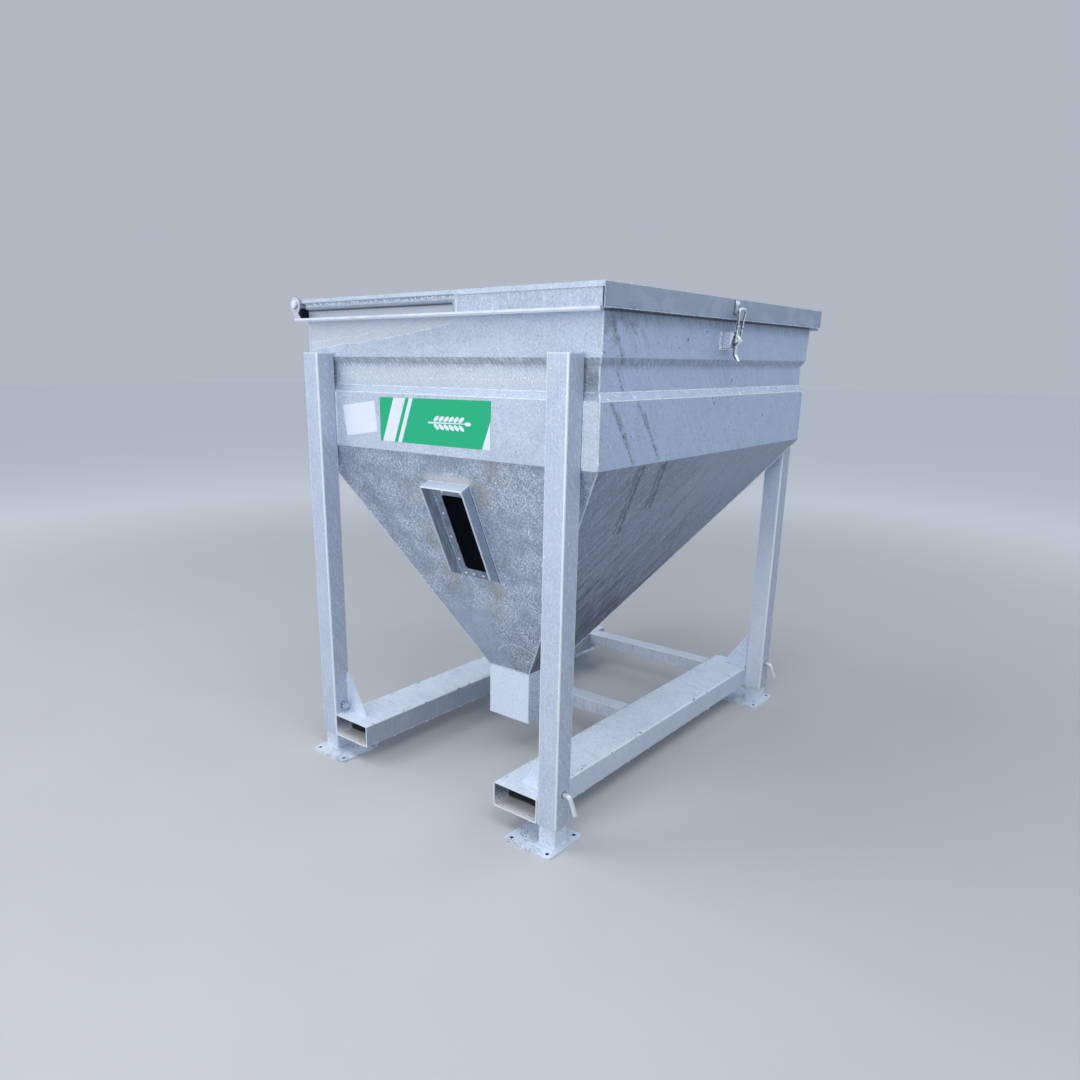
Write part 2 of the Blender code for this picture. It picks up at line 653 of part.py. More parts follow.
def build_lid(sheet):
    """Flat lid folded down into two lips and a deep right fascia, with stepped side skirts and a hinge tube."""
    pivot = (HINGE_X, 0.0, HINGE_Z)
    outline = [
        (-LID_HALF_Y, LIP_BOTTOM),
        (-LID_HALF_Y, LID_TOP),
        (LID_HALF_Y, LID_TOP),
        (LID_HALF_Y, LIP_BOTTOM),
        (LID_HALF_Y - SHEET, LIP_BOTTOM),
        (LID_HALF_Y - SHEET, LID_TOP - SHEET),
        (-LID_HALF_Y + SHEET, LID_TOP - SHEET),
        (-LID_HALF_Y + SHEET, LIP_BOTTOM),
    ]
    bm = bmesh.new()
    add_plate(bm, outline, along_x(0.0, 0.0), HINGE_X + LID_TUBE_RADIUS + GAP, LID_RIGHT)
    lid = publish("lid_sheet", bm, sheet, pivot)
    seat = bmesh.new()
    add_box(seat, (HINGE_X, -LID_HALF_Y, LID_TOP - SHEET), (HINGE_X + 2 * LID_TUBE_RADIUS, LID_HALF_Y, LID_TOP))
    combine(lid, tool("join_lid_over_tube", seat), "UNION")
    fascia = bmesh.new()
    add_box(fascia, (LID_RIGHT - SHEET, -LID_HALF_Y, FASCIA_BOTTOM), (LID_RIGHT, LID_HALF_Y, LID_TOP))
    combine(lid, tool("join_lid_fascia", fascia), "UNION")

    outer = arc((0.0, 0.0), LID_TUBE_RADIUS, 0, 345, 23)
    inner = arc((0.0, 0.0), HINGE_PIN_RADIUS + HINGE_CLEARANCE, 0, 345, 23)
    bm = bmesh.new()
    add_tube(bm, outer, inner, along_y(HINGE_X, HINGE_Z), -LID_HALF_Y, LID_HALF_Y)
    publish("lid_hinge_tube", bm, sheet, pivot)

    for end in ("front", "back"):
        build_lid_skirt(end, sheet, pivot)


def build_lid_skirt(end, sheet, pivot):
    """Skirt behind the lip: a shallow bar on the hinge side, then a deep plate past a step."""
    sign_y = -1 if end == "front" else 1
    top = LID_TOP - SHEET - GAP
    corner = (SKIRT_STEP_X - SKIRT_STEP_RADIUS, SHALLOW_BOTTOM - SKIRT_STEP_RADIUS)
    outline = [(SKIRT_LEFT, top), (SKIRT_LEFT, SHALLOW_BOTTOM)]
    outline += arc(corner, SKIRT_STEP_RADIUS, 90, 0, 4)
    outline += [(SKIRT_STEP_X, DEEP_BOTTOM), (SKIRT_RIGHT, DEEP_BOTTOM), (SKIRT_RIGHT, top)]
    outer = LID_HALF_Y - SHEET - GAP
    bm = bmesh.new()
    add_plate(bm, outline, along_y(0.0, 0.0, sign_y), outer - SKIRT_THICK, outer)
    publish(f"lid_skirt_{end}", bm, sheet, pivot)


def build_keeper(material):
    """Upturned hook on the lid's fascia that the latch bow pulls on."""
    face = LID_RIGHT + GAP
    shelf = KEEPER_BOTTOM + KEEPER_PLATE
    outline = [
        (face, KEEPER_TOP),
        (face, KEEPER_BOTTOM),
        (face + KEEPER_REACH, KEEPER_BOTTOM),
        (face + KEEPER_REACH, KEEPER_BOTTOM + KEEPER_LIP),
        (face + KEEPER_REACH - KEEPER_PLATE, KEEPER_BOTTOM + KEEPER_LIP),
        (face + KEEPER_REACH - KEEPER_PLATE, shelf),
        (face + KEEPER_PLATE, shelf),
        (face + KEEPER_PLATE, KEEPER_TOP),
    ]
    bm = bmesh.new()
    add_plate(bm, outline, along_y(0.0, 0.0), -KEEPER_HALF_WIDTH, KEEPER_HALF_WIDTH)
    publish("latch_keeper", bm, material, (HINGE_X, 0.0, HINGE_Z))


def build_latch_base(material):
    """Wall plate with two ribs that carry the lever's pivot pin."""
    face = BIN_HALF_X + GAP
    bm = bmesh.new()
    add_box(bm, (face, -BASE_HALF_WIDTH, BASE_BOTTOM), (face + BASE_PLATE, BASE_HALF_WIDTH, BASE_TOP))
    base = publish("latch_base", bm, material)
    root = face + BASE_PLATE / 2
    outline = [(root, RIB_BOTTOM), (PIVOT_X - RIB_HUB / 2, RIB_BOTTOM)]
    outline += arc((PIVOT_X, PIVOT_Z), RIB_HUB, -45, 90, 6)
    outline.append((root, PIVOT_Z + RIB_HUB))
    for name, sign_y in (("front", -1), ("back", 1)):
        bm = bmesh.new()
        add_plate(bm, outline, along_y(0.0, 0.0, sign_y), RIB_INNER_Y, RIB_INNER_Y + RIB_THICK)
        combine(base, tool(f"join_rib_{name}", bm), "UNION")
    reach = RIB_INNER_Y + 2 * RIB_THICK
    bm = bmesh.new()
    add_cylinder(bm, (PIVOT_X, -reach, PIVOT_Z), (PIVOT_X, reach, PIVOT_Z), LATCH_PIN, 20)
    combine(base, tool("join_lever_pin", bm), "UNION")


def build_latch_lever(material):
    """Hand lever that hangs down from the base pin, with the bow's pin through it."""
    outline = arc((0.0, 0.0), LEVER_HUB, 180, 0, 8) + list(LEVER_EDGE)
    bm = bmesh.new()
    add_plate(bm, outline, along_y(PIVOT_X, PIVOT_Z), -LEVER_HALF_WIDTH, LEVER_HALF_WIDTH)
    lever = publish("latch_lever", bm, material, (PIVOT_X, 0.0, PIVOT_Z))
    reach = 2 * LEVER_HALF_WIDTH
    bm = bmesh.new()
    add_cylinder(bm, (PIVOT_X, -reach, PIVOT_Z), (PIVOT_X, reach, PIVOT_Z), LATCH_PIN + LATCH_CLEARANCE)
    combine(lever, tool("cut_lever_bore", bm), "DIFFERENCE")
    reach = BOW_HALF_LOW + BOW_EYE_HALF + PIN_POINT / 2
    bm = bmesh.new()
    add_cylinder(bm, (BOW_PIVOT_X, -reach, BOW_PIVOT_Z), (BOW_PIVOT_X, reach, BOW_PIVOT_Z), LATCH_PIN, 20)
    combine(lever, tool("join_bow_pin", bm), "UNION")


def build_latch_bow(material):
    """U-shaped bow of round rod with an eye at each foot and an adjusting nut on each arm."""
    low = Vector((BOW_PIVOT_X, 0.0, BOW_PIVOT_Z))
    high = Vector((BOW_TOP_X, 0.0, BOW_TOP_Z))
    lean = (high - low).normalized()
    height = (high - low).length
    nut_rise = (BOW_NUT_Z - BOW_PIVOT_Z) / lean.z

    def spot(y, rise):
        return low + lean * rise + Vector((0.0, y, 0.0))

    half = [(BOW_HALF_LOW, BOW_EYE / 2), (BOW_HALF_LOW, nut_rise + BOW_CORNER)]
    half += arc((BOW_HALF_TOP - BOW_CORNER, height - BOW_CORNER), BOW_CORNER, 0, 90, 4)
    route = [spot(y, rise) for y, rise in half] + [spot(-y, rise) for y, rise in reversed(half)]
    bm = bmesh.new()
    add_rod(bm, route, BOW_ROD)
    bow = publish("latch_bow", bm, material, low)

    for name, sign_y in (("front", -1), ("back", 1)):
        centre = sign_y * BOW_HALF_LOW
        bm = bmesh.new()
        add_cylinder(bm, low + Vector((0.0, centre - BOW_EYE_HALF, 0.0)),
                     low + Vector((0.0, centre + BOW_EYE_HALF, 0.0)), BOW_EYE)
        combine(bow, tool(f"join_bow_eye_{name}", bm), "UNION")
        bm = bmesh.new()
        add_cylinder(bm, spot(centre, nut_rise - BOW_NUT_THICK / 2),
                     spot(centre, nut_rise + BOW_NUT_THICK / 2), BOW_NUT, 6)
        combine(bow, tool(f"join_bow_nut_{name}", bm), "UNION")
    reach = Vector((0.0, 2 * BOW_HALF_LOW, 0.0))
    bm = bmesh.new()
    add_cylinder(bm, low - reach, low + reach, LATCH_PIN + LATCH_CLEARANCE)
    combine(bow, tool("cut_bow_bore", bm), "DIFFERENCE")


for item in list(bpy.data.objects):
    bpy.data.objects.remove(item, do_unlink=True)

STEEL = surface("galvanised_section", (0.42, 0.47, 0.56), 0.5, 0.6)
SHEET_STEEL = surface("galvanised_sheet", (0.45, 0.50, 0.60), 0.45, 0.6)
HOPPER_STEEL = surface("galvanised_hopper", (0.34, 0.38, 0.45), 0.55, 0.6)
BRIGHT = surface("bright_zinc", (0.62, 0.66, 0.70), 0.35, 0.9)
PANE = surface("window_pane", (0.02, 0.02, 0.025), 0.12, 0.0)

front_plate = build_bin(SHEET_STEEL, HOPPER_STEEL)
build_outlet(HOPPER_STEEL)
build_window(front_plate, HOPPER_STEEL, PANE)
for leg_end in ("front", "back"):
    for leg_side in ("left", "right"):
        build_leg(leg_end, leg_side, STEEL, BRIGHT)
for channel_side in ("left", "right"):
    build_fork_channel(channel_side, STEEL)
for member_name, member_y in MEMBER_Y.items():
    build_cross_member(member_name, member_y, STEEL)
for rail_end in ("front", "back"):
    build_rail(rail_end, STEEL)
    build_hinge_ear(rail_end, STEEL)
build_hinge_guard(STEEL)
build_lid(SHEET_STEEL)
build_keeper(BRIGHT)
build_latch_base(BRIGHT)
build_latch_lever(BRIGHT)
build_latch_bow(BRIGHT)
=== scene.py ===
"""Looks of a galvanised feed bin: zinc finishes, welds, rivets, labels, light and camera."""

import math

import bmesh
import bpy
from mathutils import Matrix, Vector, noise


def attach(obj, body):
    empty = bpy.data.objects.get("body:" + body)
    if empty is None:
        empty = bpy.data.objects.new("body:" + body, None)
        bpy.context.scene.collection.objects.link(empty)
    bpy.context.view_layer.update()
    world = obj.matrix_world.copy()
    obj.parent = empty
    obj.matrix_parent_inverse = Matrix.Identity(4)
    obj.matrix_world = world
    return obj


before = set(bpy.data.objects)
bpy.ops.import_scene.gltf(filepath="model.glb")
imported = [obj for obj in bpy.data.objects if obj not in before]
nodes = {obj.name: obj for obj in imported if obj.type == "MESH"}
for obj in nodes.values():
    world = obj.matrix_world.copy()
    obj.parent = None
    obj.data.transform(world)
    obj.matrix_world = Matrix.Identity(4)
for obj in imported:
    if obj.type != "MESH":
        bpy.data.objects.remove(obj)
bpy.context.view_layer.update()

# Fork channels: two rectangular tubes that carry the bin, hot-dip galvanised after welding.
# Their tops keep pale bands from the zinc bath, and the pockets are dusty inside. Their sides carry painted
# shade, their rounded corners a painted highlight, and the pockets' walls and far ends painted shade.
MIDDLE_X = -0.00775
CHANNEL_CENTRE_X = 0.48305
CHANNEL_CENTRE_Z = 0.1375
CHANNEL_HALF_X = 0.1066
CHANNEL_HALF_Z = 0.0515
CHANNEL_CORNER = 0.007
WHITE = (0.86, 0.91, 0.98)
PALE = (0.67, 0.75, 0.87)
LIGHT = (0.55, 0.63, 0.76)
GREY = (0.39, 0.46, 0.57)
SLATE = (0.19, 0.23, 0.29)
# A near-black for soot and dirt, also used for painted shade.
SOOT_AND_SHADE = (0.045, 0.052, 0.070)
CHANNEL_END = 0.9613
CHANNEL_TONES = ((0.63, 0.72, 0.86), (0.79, 0.88, 1.0), (0.90, 0.97, 1.0))
DUST = (0.98, 0.98, 0.97)


class Wire:
    """One output of a material's nodes. Sums written with it become Math nodes."""

    def __init__(self, tree, socket=None):
        self.tree = tree
        self.socket = socket

    def node(self, kind, settings=None, inputs=None, output=0):
        """Add a node: its settings first, then the values or links of its sockets."""
        node = self.tree.nodes.new(kind)
        for name, value in (settings or {}).items():
            setattr(node, name, value)
        for key, value in (inputs or {}).items():
            if isinstance(value, Wire):
                self.tree.links.new(value.socket, node.inputs[key])
            elif node.inputs[key].type == "RGBA":
                node.inputs[key].default_value = (*value, 1.0)
            else:
                node.inputs[key].default_value = value
        return Wire(self.tree, node.outputs[output] if node.outputs else None)

    def math(self, operation, *values):
        return self.node("ShaderNodeMath", {"operation": operation}, dict(enumerate(values)))

    def __add__(self, other):
        return self.math("ADD", self, other)

    def __radd__(self, other):
        return self.math("ADD", other, self)

    def __sub__(self, other):
        return self.math("SUBTRACT", self, other)

    def __rsub__(self, other):
        return self.math("SUBTRACT", other, self)

    def __mul__(self, other):
        return self.math("MULTIPLY", self, other)

    def __rmul__(self, other):
        return self.math("MULTIPLY", other, self)

    def __abs__(self):
        return self.math("ABSOLUTE", self)

    def least(self, other):
        return self.math("MINIMUM", self, other)

    def most(self, other):
        return self.math("MAXIMUM", self, other)

    def fade(self, start, stop):
        """0 at start and 1 at stop, with a smooth way between."""
        ends = {"Value": self, "From Min": start, "From Max": stop}
        return self.node("ShaderNodeMapRange", {"interpolation_type": "SMOOTHSTEP"}, ends)

    def by(self, edge, start, stop):
        """A fade whose two ends are measured from an edge."""
        return self.fade(edge + start, edge + stop)

    def near(self, value, reach):
        """1 at the value, fading to 0 at the reach on either side of it."""
        return abs(self - value).fade(reach, 0.0)

    def blend(self, low, high):
        """A colour from low to high, by this value."""
        return self.node("ShaderNodeMix", {"data_type": "RGBA"}, {0: self, 6: low, 7: high}, 2)

    def axes(self):
        """The three coordinates of a place."""
        split = self.node("ShaderNodeSeparateXYZ", {}, {"Vector": self})
        return [Wire(self.tree, socket) for socket in split.socket.node.outputs]

    def flat(self, across, up):
        """A place seen square on, so that long streaks lie in a sloping sheet and don't run into it."""
        return self.node("ShaderNodeCombineXYZ", {}, {"X": across, "Z": up})

    def grains(self, size, stretch=(1.0, 1.0, 1.0), turn=(0.0, 0.0, 0.0), detail=2.0):
        """Soft noise of about this grain size, drawn out along the axes, which are turned first."""
        lengths = [size * part for part in stretch]
        spot = self.node("ShaderNodeMapping", {"vector_type": "TEXTURE"},
                         {"Vector": self, "Rotation": turn, "Scale": lengths})
        return self.node("ShaderNodeTexNoise", {}, {"Vector": spot, "Scale": 1.0, "Detail": detail})

    def streaks(self, size, long, lean=0, detail=2.0):
        """Noise drawn out into upright streaks, or into streaks that lean by some degrees."""
        return self.grains(size, (1.0, 1.0, long), (0.0, math.radians(lean), 0.0), detail)

    def crystals(self, size):
        """A random value on each crystal of about this size."""
        cells = self.node("ShaderNodeTexVoronoi", {}, {"Vector": self, "Scale": 1 / size}, "Color")
        return cells.node("ShaderNodeSeparateColor", {}, {"Color": cells})


def bare_material(name):
    """A material with nothing in it yet, and the coordinates of whatever piece wears it."""
    material = bpy.data.materials.new(name)
    material.use_nodes = True
    material.node_tree.nodes.clear()
    return material, Wire(material.node_tree).node("ShaderNodeTexCoord", output="Object")


def close_material(place, sockets):
    """Give a material its shader, with these sockets set or linked."""
    shader = place.node("ShaderNodeBsdfPrincipled", {}, sockets)
    place.node("ShaderNodeOutputMaterial", {}, {"Surface": shader})


class Paint:
    """The colour of a material, painted over with one mask after another."""

    def __init__(self, colour):
        self.colour = colour

    def __call__(self, mask, tone):
        self.colour = mask.blend(self.colour, tone)


def zinc(name, marks=None, tones=(GREY, LIGHT, PALE), crystal=0.007, sparkle=0.5, cloud=0.5,
         flecks=0.35, pores=0.25, roughness=0.5, metallic=0.3, relief=0.0004):
    """Hot-dip zinc: crystals, clouds, pale flecks and dark pores. Marks paints a piece's stains over it,
    with its painted shade and painted highlights.
    """
    material, place = bare_material(name)
    fine = place.crystals(crystal)
    speck = place.grains(crystal * 0.6, detail=1.0)
    clouds = place.grains(0.10, detail=4.0)
    tone = 0.5 + (fine - 0.5) * sparkle * 0.5 + (speck - 0.5) * sparkle * 1.4 + (clouds - 0.5) * cloud * 1.6
    paint = Paint(tone.fade(0.1, 0.55).blend(tones[0], tones[1]))
    paint(tone.fade(0.5, 0.95), tones[2])
    paint(place.grains(0.0085, detail=1.0).fade(0.60, 0.70) * pores, SLATE)
    paint(place.grains(0.0065, detail=1.0).fade(0.60, 0.68) * flecks, WHITE)
    if marks:
        marks(place, paint, *place.axes())
    bump = place.node("ShaderNodeBump", {}, {
        "Strength": 0.4, "Distance": relief, "Height": fine * 0.4 + speck})
    close_material(place, {
        "Base Color": paint.colour, "Roughness": roughness + (fine - 0.5) * 0.14 + (clouds - 0.5) * 0.15,
        "Metallic": metallic, "Normal": bump})
    return material


def coat(material, *names):
    """Give CAD nodes a material in place of their plain one."""
    for name in names:
        for slot in nodes[name].material_slots:
            slot.material = material


def channel_marks(place, paint, x, y, z):
    across = abs(abs(x - MIDDLE_X) - CHANNEL_CENTRE_X)
    height = z - CHANNEL_CENTRE_Z
    patch = place.grains(0.12, detail=3.0)
    bands = place.grains(0.026, (5.0, 0.5, 1.0), (0.0, 0.0, -0.12), 4.0)
    top = height.by(CHANNEL_HALF_Z, -0.004, -0.001)
    banded = top * patch.fade(0.40, 0.60)
    paint(bands.fade(0.56, 0.64) * banded * 0.70, WHITE)
    paint(bands.fade(0.42, 0.34) * banded * 0.28, GREY)
    runs = place.streaks(0.010, 9.0).fade(0.50, 0.72)
    side = across.by(CHANNEL_HALF_X, -0.002, -0.0005)
    outwards = abs(x - MIDDLE_X) - CHANNEL_CENTRE_X
    # Painted shade: the inward sides under the bin are painted dark, the outward sides greyer than the tops.
    paint(outwards.fade(0.0, -0.02) * side * 0.70, SLATE)
    paint(outwards.fade(0.0, 0.02) * side * 0.45, GREY)
    paint(runs * side * 0.40, LIGHT)
    # Painted highlight: the rounded corners are painted white.
    corner = across - (CHANNEL_HALF_X - CHANNEL_CORNER)
    corner = corner.least(abs(height) - (CHANNEL_HALF_Z - CHANNEL_CORNER))
    paint(corner.fade(0.0, 0.003) * 0.8, WHITE)
    nicks = place.grains(0.014, (1.0, 2.2, 1.0), detail=3.0).fade(0.62, 0.68)
    brink = (across.by(CHANNEL_HALF_X, -0.035, 0.0) * top).most(corner.fade(0.0, 0.003))
    paint(nicks * brink * 0.8, SOOT_AND_SHADE)
    inside = across.by(CHANNEL_HALF_X, -0.002, -0.003)
    inside = inside * abs(height).by(CHANNEL_HALF_Z, -0.002, -0.003)
    # Painted shade: inside the pocket the walls darken towards the roof.
    paint(inside * height.fade(-0.044, 0.010) * 0.85, SLATE)
    paint(inside * height.fade(-0.034, -0.042), DUST)
    mouth = abs(y).by(CHANNEL_END, -0.060, -0.035)
    strewn = height.fade(-0.044, -0.020).most(patch.fade(0.46, 0.52) * mouth * 0.9)
    crumbs = place.grains(0.008).fade(0.60, 0.66) * strewn
    paint(inside * crumbs * 0.8, SOOT_AND_SHADE)
    # Painted shadow: past the reach of the light from the mouth, the pocket is painted near-black.
    deep = (abs(y) + (patch - 0.5) * 0.02).by(CHANNEL_END, -0.082, -0.096)
    paint(inside * deep * 0.9, SOOT_AND_SHADE)
    paint(abs(y).by(CHANNEL_END, -0.0015, -0.0005) * 0.9, WHITE)


coat(zinc("channel_zinc", channel_marks, CHANNEL_TONES, crystal=0.009, sparkle=0.5),
     "fork_channel_left", "fork_channel_right")

# Cross members: two smaller tubes welded between the fork channels, flush with their tops.
# The rounded top edges carry a painted highlight.
MEMBER_HALF_WIDTH = 0.040
MEMBER_CORNER = 0.006
MEMBER_TOP = 0.189
REAR_MEMBER_Y = 0.848


def member_marks(place, paint, x, y, z):
    across = abs(y).least(abs(y - REAR_MEMBER_Y))
    # Painted highlight along the rounded top edges.
    edge_highlight = (across - (MEMBER_HALF_WIDTH - MEMBER_CORNER)).least(z - (MEMBER_TOP - MEMBER_CORNER))
    paint(edge_highlight.fade(0.0, 0.002) * 0.9, WHITE)
    paint(place.streaks(0.009, 6.0).fade(0.52, 0.70) * 0.30, GREY)


MEMBER_TONES = ((0.60, 0.66, 0.75), (0.74, 0.80, 0.90), (0.85, 0.90, 0.97))
coat(zinc("member_zinc", member_marks, MEMBER_TONES, sparkle=0.45),
     "cross_member_middle", "cross_member_rear")

# Legs: square tube sleeves welded to the front and back walls, each closed by a cap plate.
# Lengthwise zinc streaks run down them and dirt lines the lower rim. The rounded corners carry a painted
# highlight, the side faces and bolt holes painted shade, and the back legs painted light near the ground.
LEG_CENTRE_X = 0.635
LEG_CENTRE_Y = 0.9163
LEG_HALF = 0.045
LEG_CORNER = 0.008
LEG_BOTTOM = 0.086
LEG_TOP = 1.793
LEG_TONES = ((0.43, 0.50, 0.63), (0.54, 0.62, 0.77), (0.65, 0.73, 0.87))
RIM_DIRT = (0.42, 0.38, 0.28)
BOLT_Z = 0.2235
BOLT_RADIUS = 0.0095


def leg_marks(place, paint, x, y, z):
    across = abs(abs(x - MIDDLE_X) - LEG_CENTRE_X)
    deep = abs(abs(y) - LEG_CENTRE_Y)
    paint(place.streaks(0.007, 30.0, detail=3.0).fade(0.45, 0.70) * 0.30, PALE)
    # Painted light: the back legs are painted paler, most towards the ground.
    lit_back_legs = y.fade(0.5, 0.9)
    paint(lit_back_legs * (0.55 - 0.50 * z.fade(0.45, 1.15)), WHITE)
    # Painted shade: the legs' left and right faces are painted greyer, broken up by brushed streaks.
    side = across.by(LEG_HALF, -0.003, -0.001)
    brushed = place.grains(0.014, (1.0, 1.0, 8.0), (math.radians(35), 0.0, 0.0), 3.0).fade(0.40, 0.66)
    paint(side * (0.58 + 0.30 * brushed + 0.10 * lit_back_legs), GREY)
    paint(place.streaks(0.0055, 2.5, detail=1.0).fade(0.60, 0.68) * 0.40, WHITE)
    paint(place.streaks(0.011, 1.8).fade(0.68, 0.75) * 0.50, GREY)
    # Painted highlight: the rounded corners are painted white.
    corner = across.least(deep).fade(LEG_HALF - LEG_CORNER, LEG_HALF - 0.6 * LEG_CORNER)
    paint(corner * 0.80, WHITE)
    rim = z.by(LEG_BOTTOM, 0.004, 0.0) * place.grains(0.02).fade(0.3, 0.6)
    paint(rim * 0.6, RIM_DIRT)
    off_y, off_z = abs(y) - LEG_CENTRE_Y, z - BOLT_Z
    # Painted shade: the gap round the bolt in its hole is painted near-black.
    hole_shade = (off_y * off_y + off_z * off_z).fade((BOLT_RADIUS + 0.006) ** 2, (BOLT_RADIUS + 0.003) ** 2)
    paint(hole_shade * side * 0.85, SOOT_AND_SHADE)
    paint(z.by(LEG_TOP, -0.006, -0.002) * 0.7, WHITE)


def at_legs(kind):
    """The names of the four nodes of a kind, one at each leg."""
    return [f"{kind}_{end}_{side}" for end in ("front", "back") for side in ("left", "right")]


coat(zinc("leg_zinc", leg_marks, LEG_TONES, crystal=0.005, sparkle=0.5, cloud=0.35, pores=0.15),
     *at_legs("leg"))

# Feet: a smaller tube sliding in each leg, welded on a plate with four bolt holes.
# The plates are splashed with dark specks round the tube. The bolt holes are painted near-black and the
# crease round the tube is painted darker, both painted shade.
PLATE_TOP = 0.009
PLATE_HOLES_X = (0.501, 0.671)
PLATE_HOLES_Y = (0.8273, 0.9973)
PLATE_HOLE = 0.007
FOOT_TONES = ((0.58, 0.65, 0.76), (0.72, 0.79, 0.90), (0.84, 0.90, 0.98))


def foot_marks(place, paint, x, y, z):
    across = abs(abs(x - MIDDLE_X) - LEG_CENTRE_X)
    deep = abs(abs(y) - LEG_CENTRE_Y)
    plate = z.by(PLATE_TOP, 0.002, 0.0)
    inwards = (abs(x - MIDDLE_X) - LEG_CENTRE_X).fade(0.06, -0.05)
    splash = place.grains(0.006, detail=3.0).fade(0.48, 0.58)
    splash = splash * place.grains(0.05).fade(0.42, 0.55)
    paint(splash * plate * inwards * 0.65, SLATE)
    # Painted shade in the crease where the tube meets the plate.
    crease_shade = across.most(deep).near(LEG_HALF + 0.004, 0.012) * plate
    paint(crease_shade * 0.35, GREY)
    blots = place.grains(0.024, detail=4.0).fade(0.56, 0.66)
    paint(blots * z.fade(0.05, PLATE_TOP) * 0.35, GREY)
    off_x = abs(abs(x - MIDDLE_X) - PLATE_HOLES_X[0]).least(abs(abs(x - MIDDLE_X) - PLATE_HOLES_X[1]))
    off_y = abs(abs(y) - PLATE_HOLES_Y[0]).least(abs(abs(y) - PLATE_HOLES_Y[1]))
    # Painted shade: the bolt holes are painted near-black.
    hole_shade = (off_x * off_x + off_y * off_y).fade((PLATE_HOLE + 0.0012) ** 2, PLATE_HOLE ** 2)
    paint(hole_shade * 0.95, SOOT_AND_SHADE)


coat(zinc("foot_zinc", foot_marks, FOOT_TONES, sparkle=0.6), *at_legs("foot"))

# Gussets: flat triangular plates welded upright between each leg and its fork channel.
# They are cut from 8 mm plate, and came out of the zinc bath pale and even.
GUSSET_TONES = ((0.60, 0.68, 0.82), (0.74, 0.82, 0.95), (0.84, 0.91, 1.0))
coat(zinc("gusset_zinc", None, GUSSET_TONES, sparkle=0.45, cloud=0.4), *at_legs("gusset"))

# Locking bolts: bent round bars through leg and foot, dull and pale, with a bright nut and washer inside.
LEG_OUTER_FACE = 0.676
NUT_RADIUS = 0.0165
WASHER_RADIUS = 0.019
BAR_GREY = (0.76, 0.78, 0.81)


def bolt_marks(place, paint, x, y, z):
    bar = abs(x - MIDDLE_X).by(LEG_OUTER_FACE, -0.002, 0.0)
    paint(bar * (0.7 + 0.3 * place.grains(0.02).fade(0.3, 0.7)), BAR_GREY)
    off_y, off_z = abs(y) - LEG_CENTRE_Y, z - BOLT_Z
    round_it = off_y * off_y + off_z * off_z
    # Painted shade: a dark ring on the washer round the nut.
    nut_shade = round_it.fade((NUT_RADIUS - 0.0025) ** 2, (NUT_RADIUS - 0.0005) ** 2)
    nut_shade = nut_shade * round_it.fade((WASHER_RADIUS - 0.0008) ** 2, (WASHER_RADIUS - 0.0022) ** 2)
    paint(nut_shade * (1 - bar) * 0.8, SOOT_AND_SHADE)


coat(zinc("bolt_zinc", bolt_marks, crystal=0.003, sparkle=0.3, roughness=0.38, metallic=0.55),
     *at_legs("lock_bolt"))

# Bin walls: 3 mm sheet with a proud top band, a recess and a proud lower band, welded at the corners.
# Zinc runs hang slantwise on the sides, because the bin was dipped on a tilt, and a tide mark crosses
# the front. The side walls wear a darker copy of the front's zinc as painted shade, and painted shade and
# painted light lie round the recess, the legs and the rim.
WALL_HALF_X = 0.743
WALL_HALF_Y = 0.871
HOPPER_TOP = 1.4145
LOWER_BAND_TOP = 1.640
RECESS_BOTTOM = 1.668
RECESS_TOP = 1.754
TOP_BAND_BOTTOM = 1.778
RECESS_MIDDLE = 1.705
RIM_LINE = 1.925
FASCIA_SHADOW_LINE = 1.924
SKIRT_SHADOW_LINE = 1.962
SKIRT_STEP = 0.126
TIDE_HEIGHT = 1.880
TIDE_SLOPE = 0.102
TIDE_CREAM = (0.72, 0.75, 0.79)
RECESS_PAINTED_LIGHT = (0.66, 0.71, 0.77)
HAIR_AND_SHADE_GREY = (0.17, 0.185, 0.20)
HAIR_LEAN = -36
DRIP_LEAN = -34
COMB_LEAN = -76
SIDE_TRAILS = [
    ((-0.814, 1.890), (-0.737, 1.766)),
    ((-0.749, 1.736), (-0.710, 1.670)),
    ((-0.733, 1.913), (-0.670, 1.855)),
    ((-0.805, 1.637), (-0.720, 1.519)),
    ((-0.720, 1.519), (-0.654, 1.430)),
    ((-0.636, 1.632), (-0.550, 1.527)),
    ((-0.550, 1.527), (-0.474, 1.430)),
]
SIDE_SPOTS = [(-0.309, 1.847), (-0.061, 1.615), (0.42, 1.55), (0.12, 1.70)]


def swage_step(z):
    """1 on the sloping fold between the lower band and the recess."""
    return z.by(LOWER_BAND_TOP, -0.002, 0.0) * z.by(RECESS_BOTTOM, 0.003, 0.0)


def swage_marks(z, flat, dark, paint):
    """The bright folds, and painted shade under the top band with dark streaks hanging in it."""
    uneven = flat.grains(0.020, detail=3.0)
    height = z + (uneven - 0.5) * 0.003
    fold = height.near(LOWER_BAND_TOP, 0.0030).most(height.near(RECESS_BOTTOM, 0.0026))
    paint(fold * uneven.fade(0.30, 0.55) * 0.85, WHITE)
    # Painted shade under the top band's overhang, with dark zinc hairs in it.
    hang = z.by(RECESS_TOP, -0.022, 0.002) * z.by(TOP_BAND_BOTTOM, 0.001, -0.002)
    hairs = flat.streaks(0.0060, 6.0, HAIR_LEAN, 1.0).fade(0.44, 0.54)
    paint(hang * (0.15 + 0.85 * hairs) * dark, HAIR_AND_SHADE_GREY)


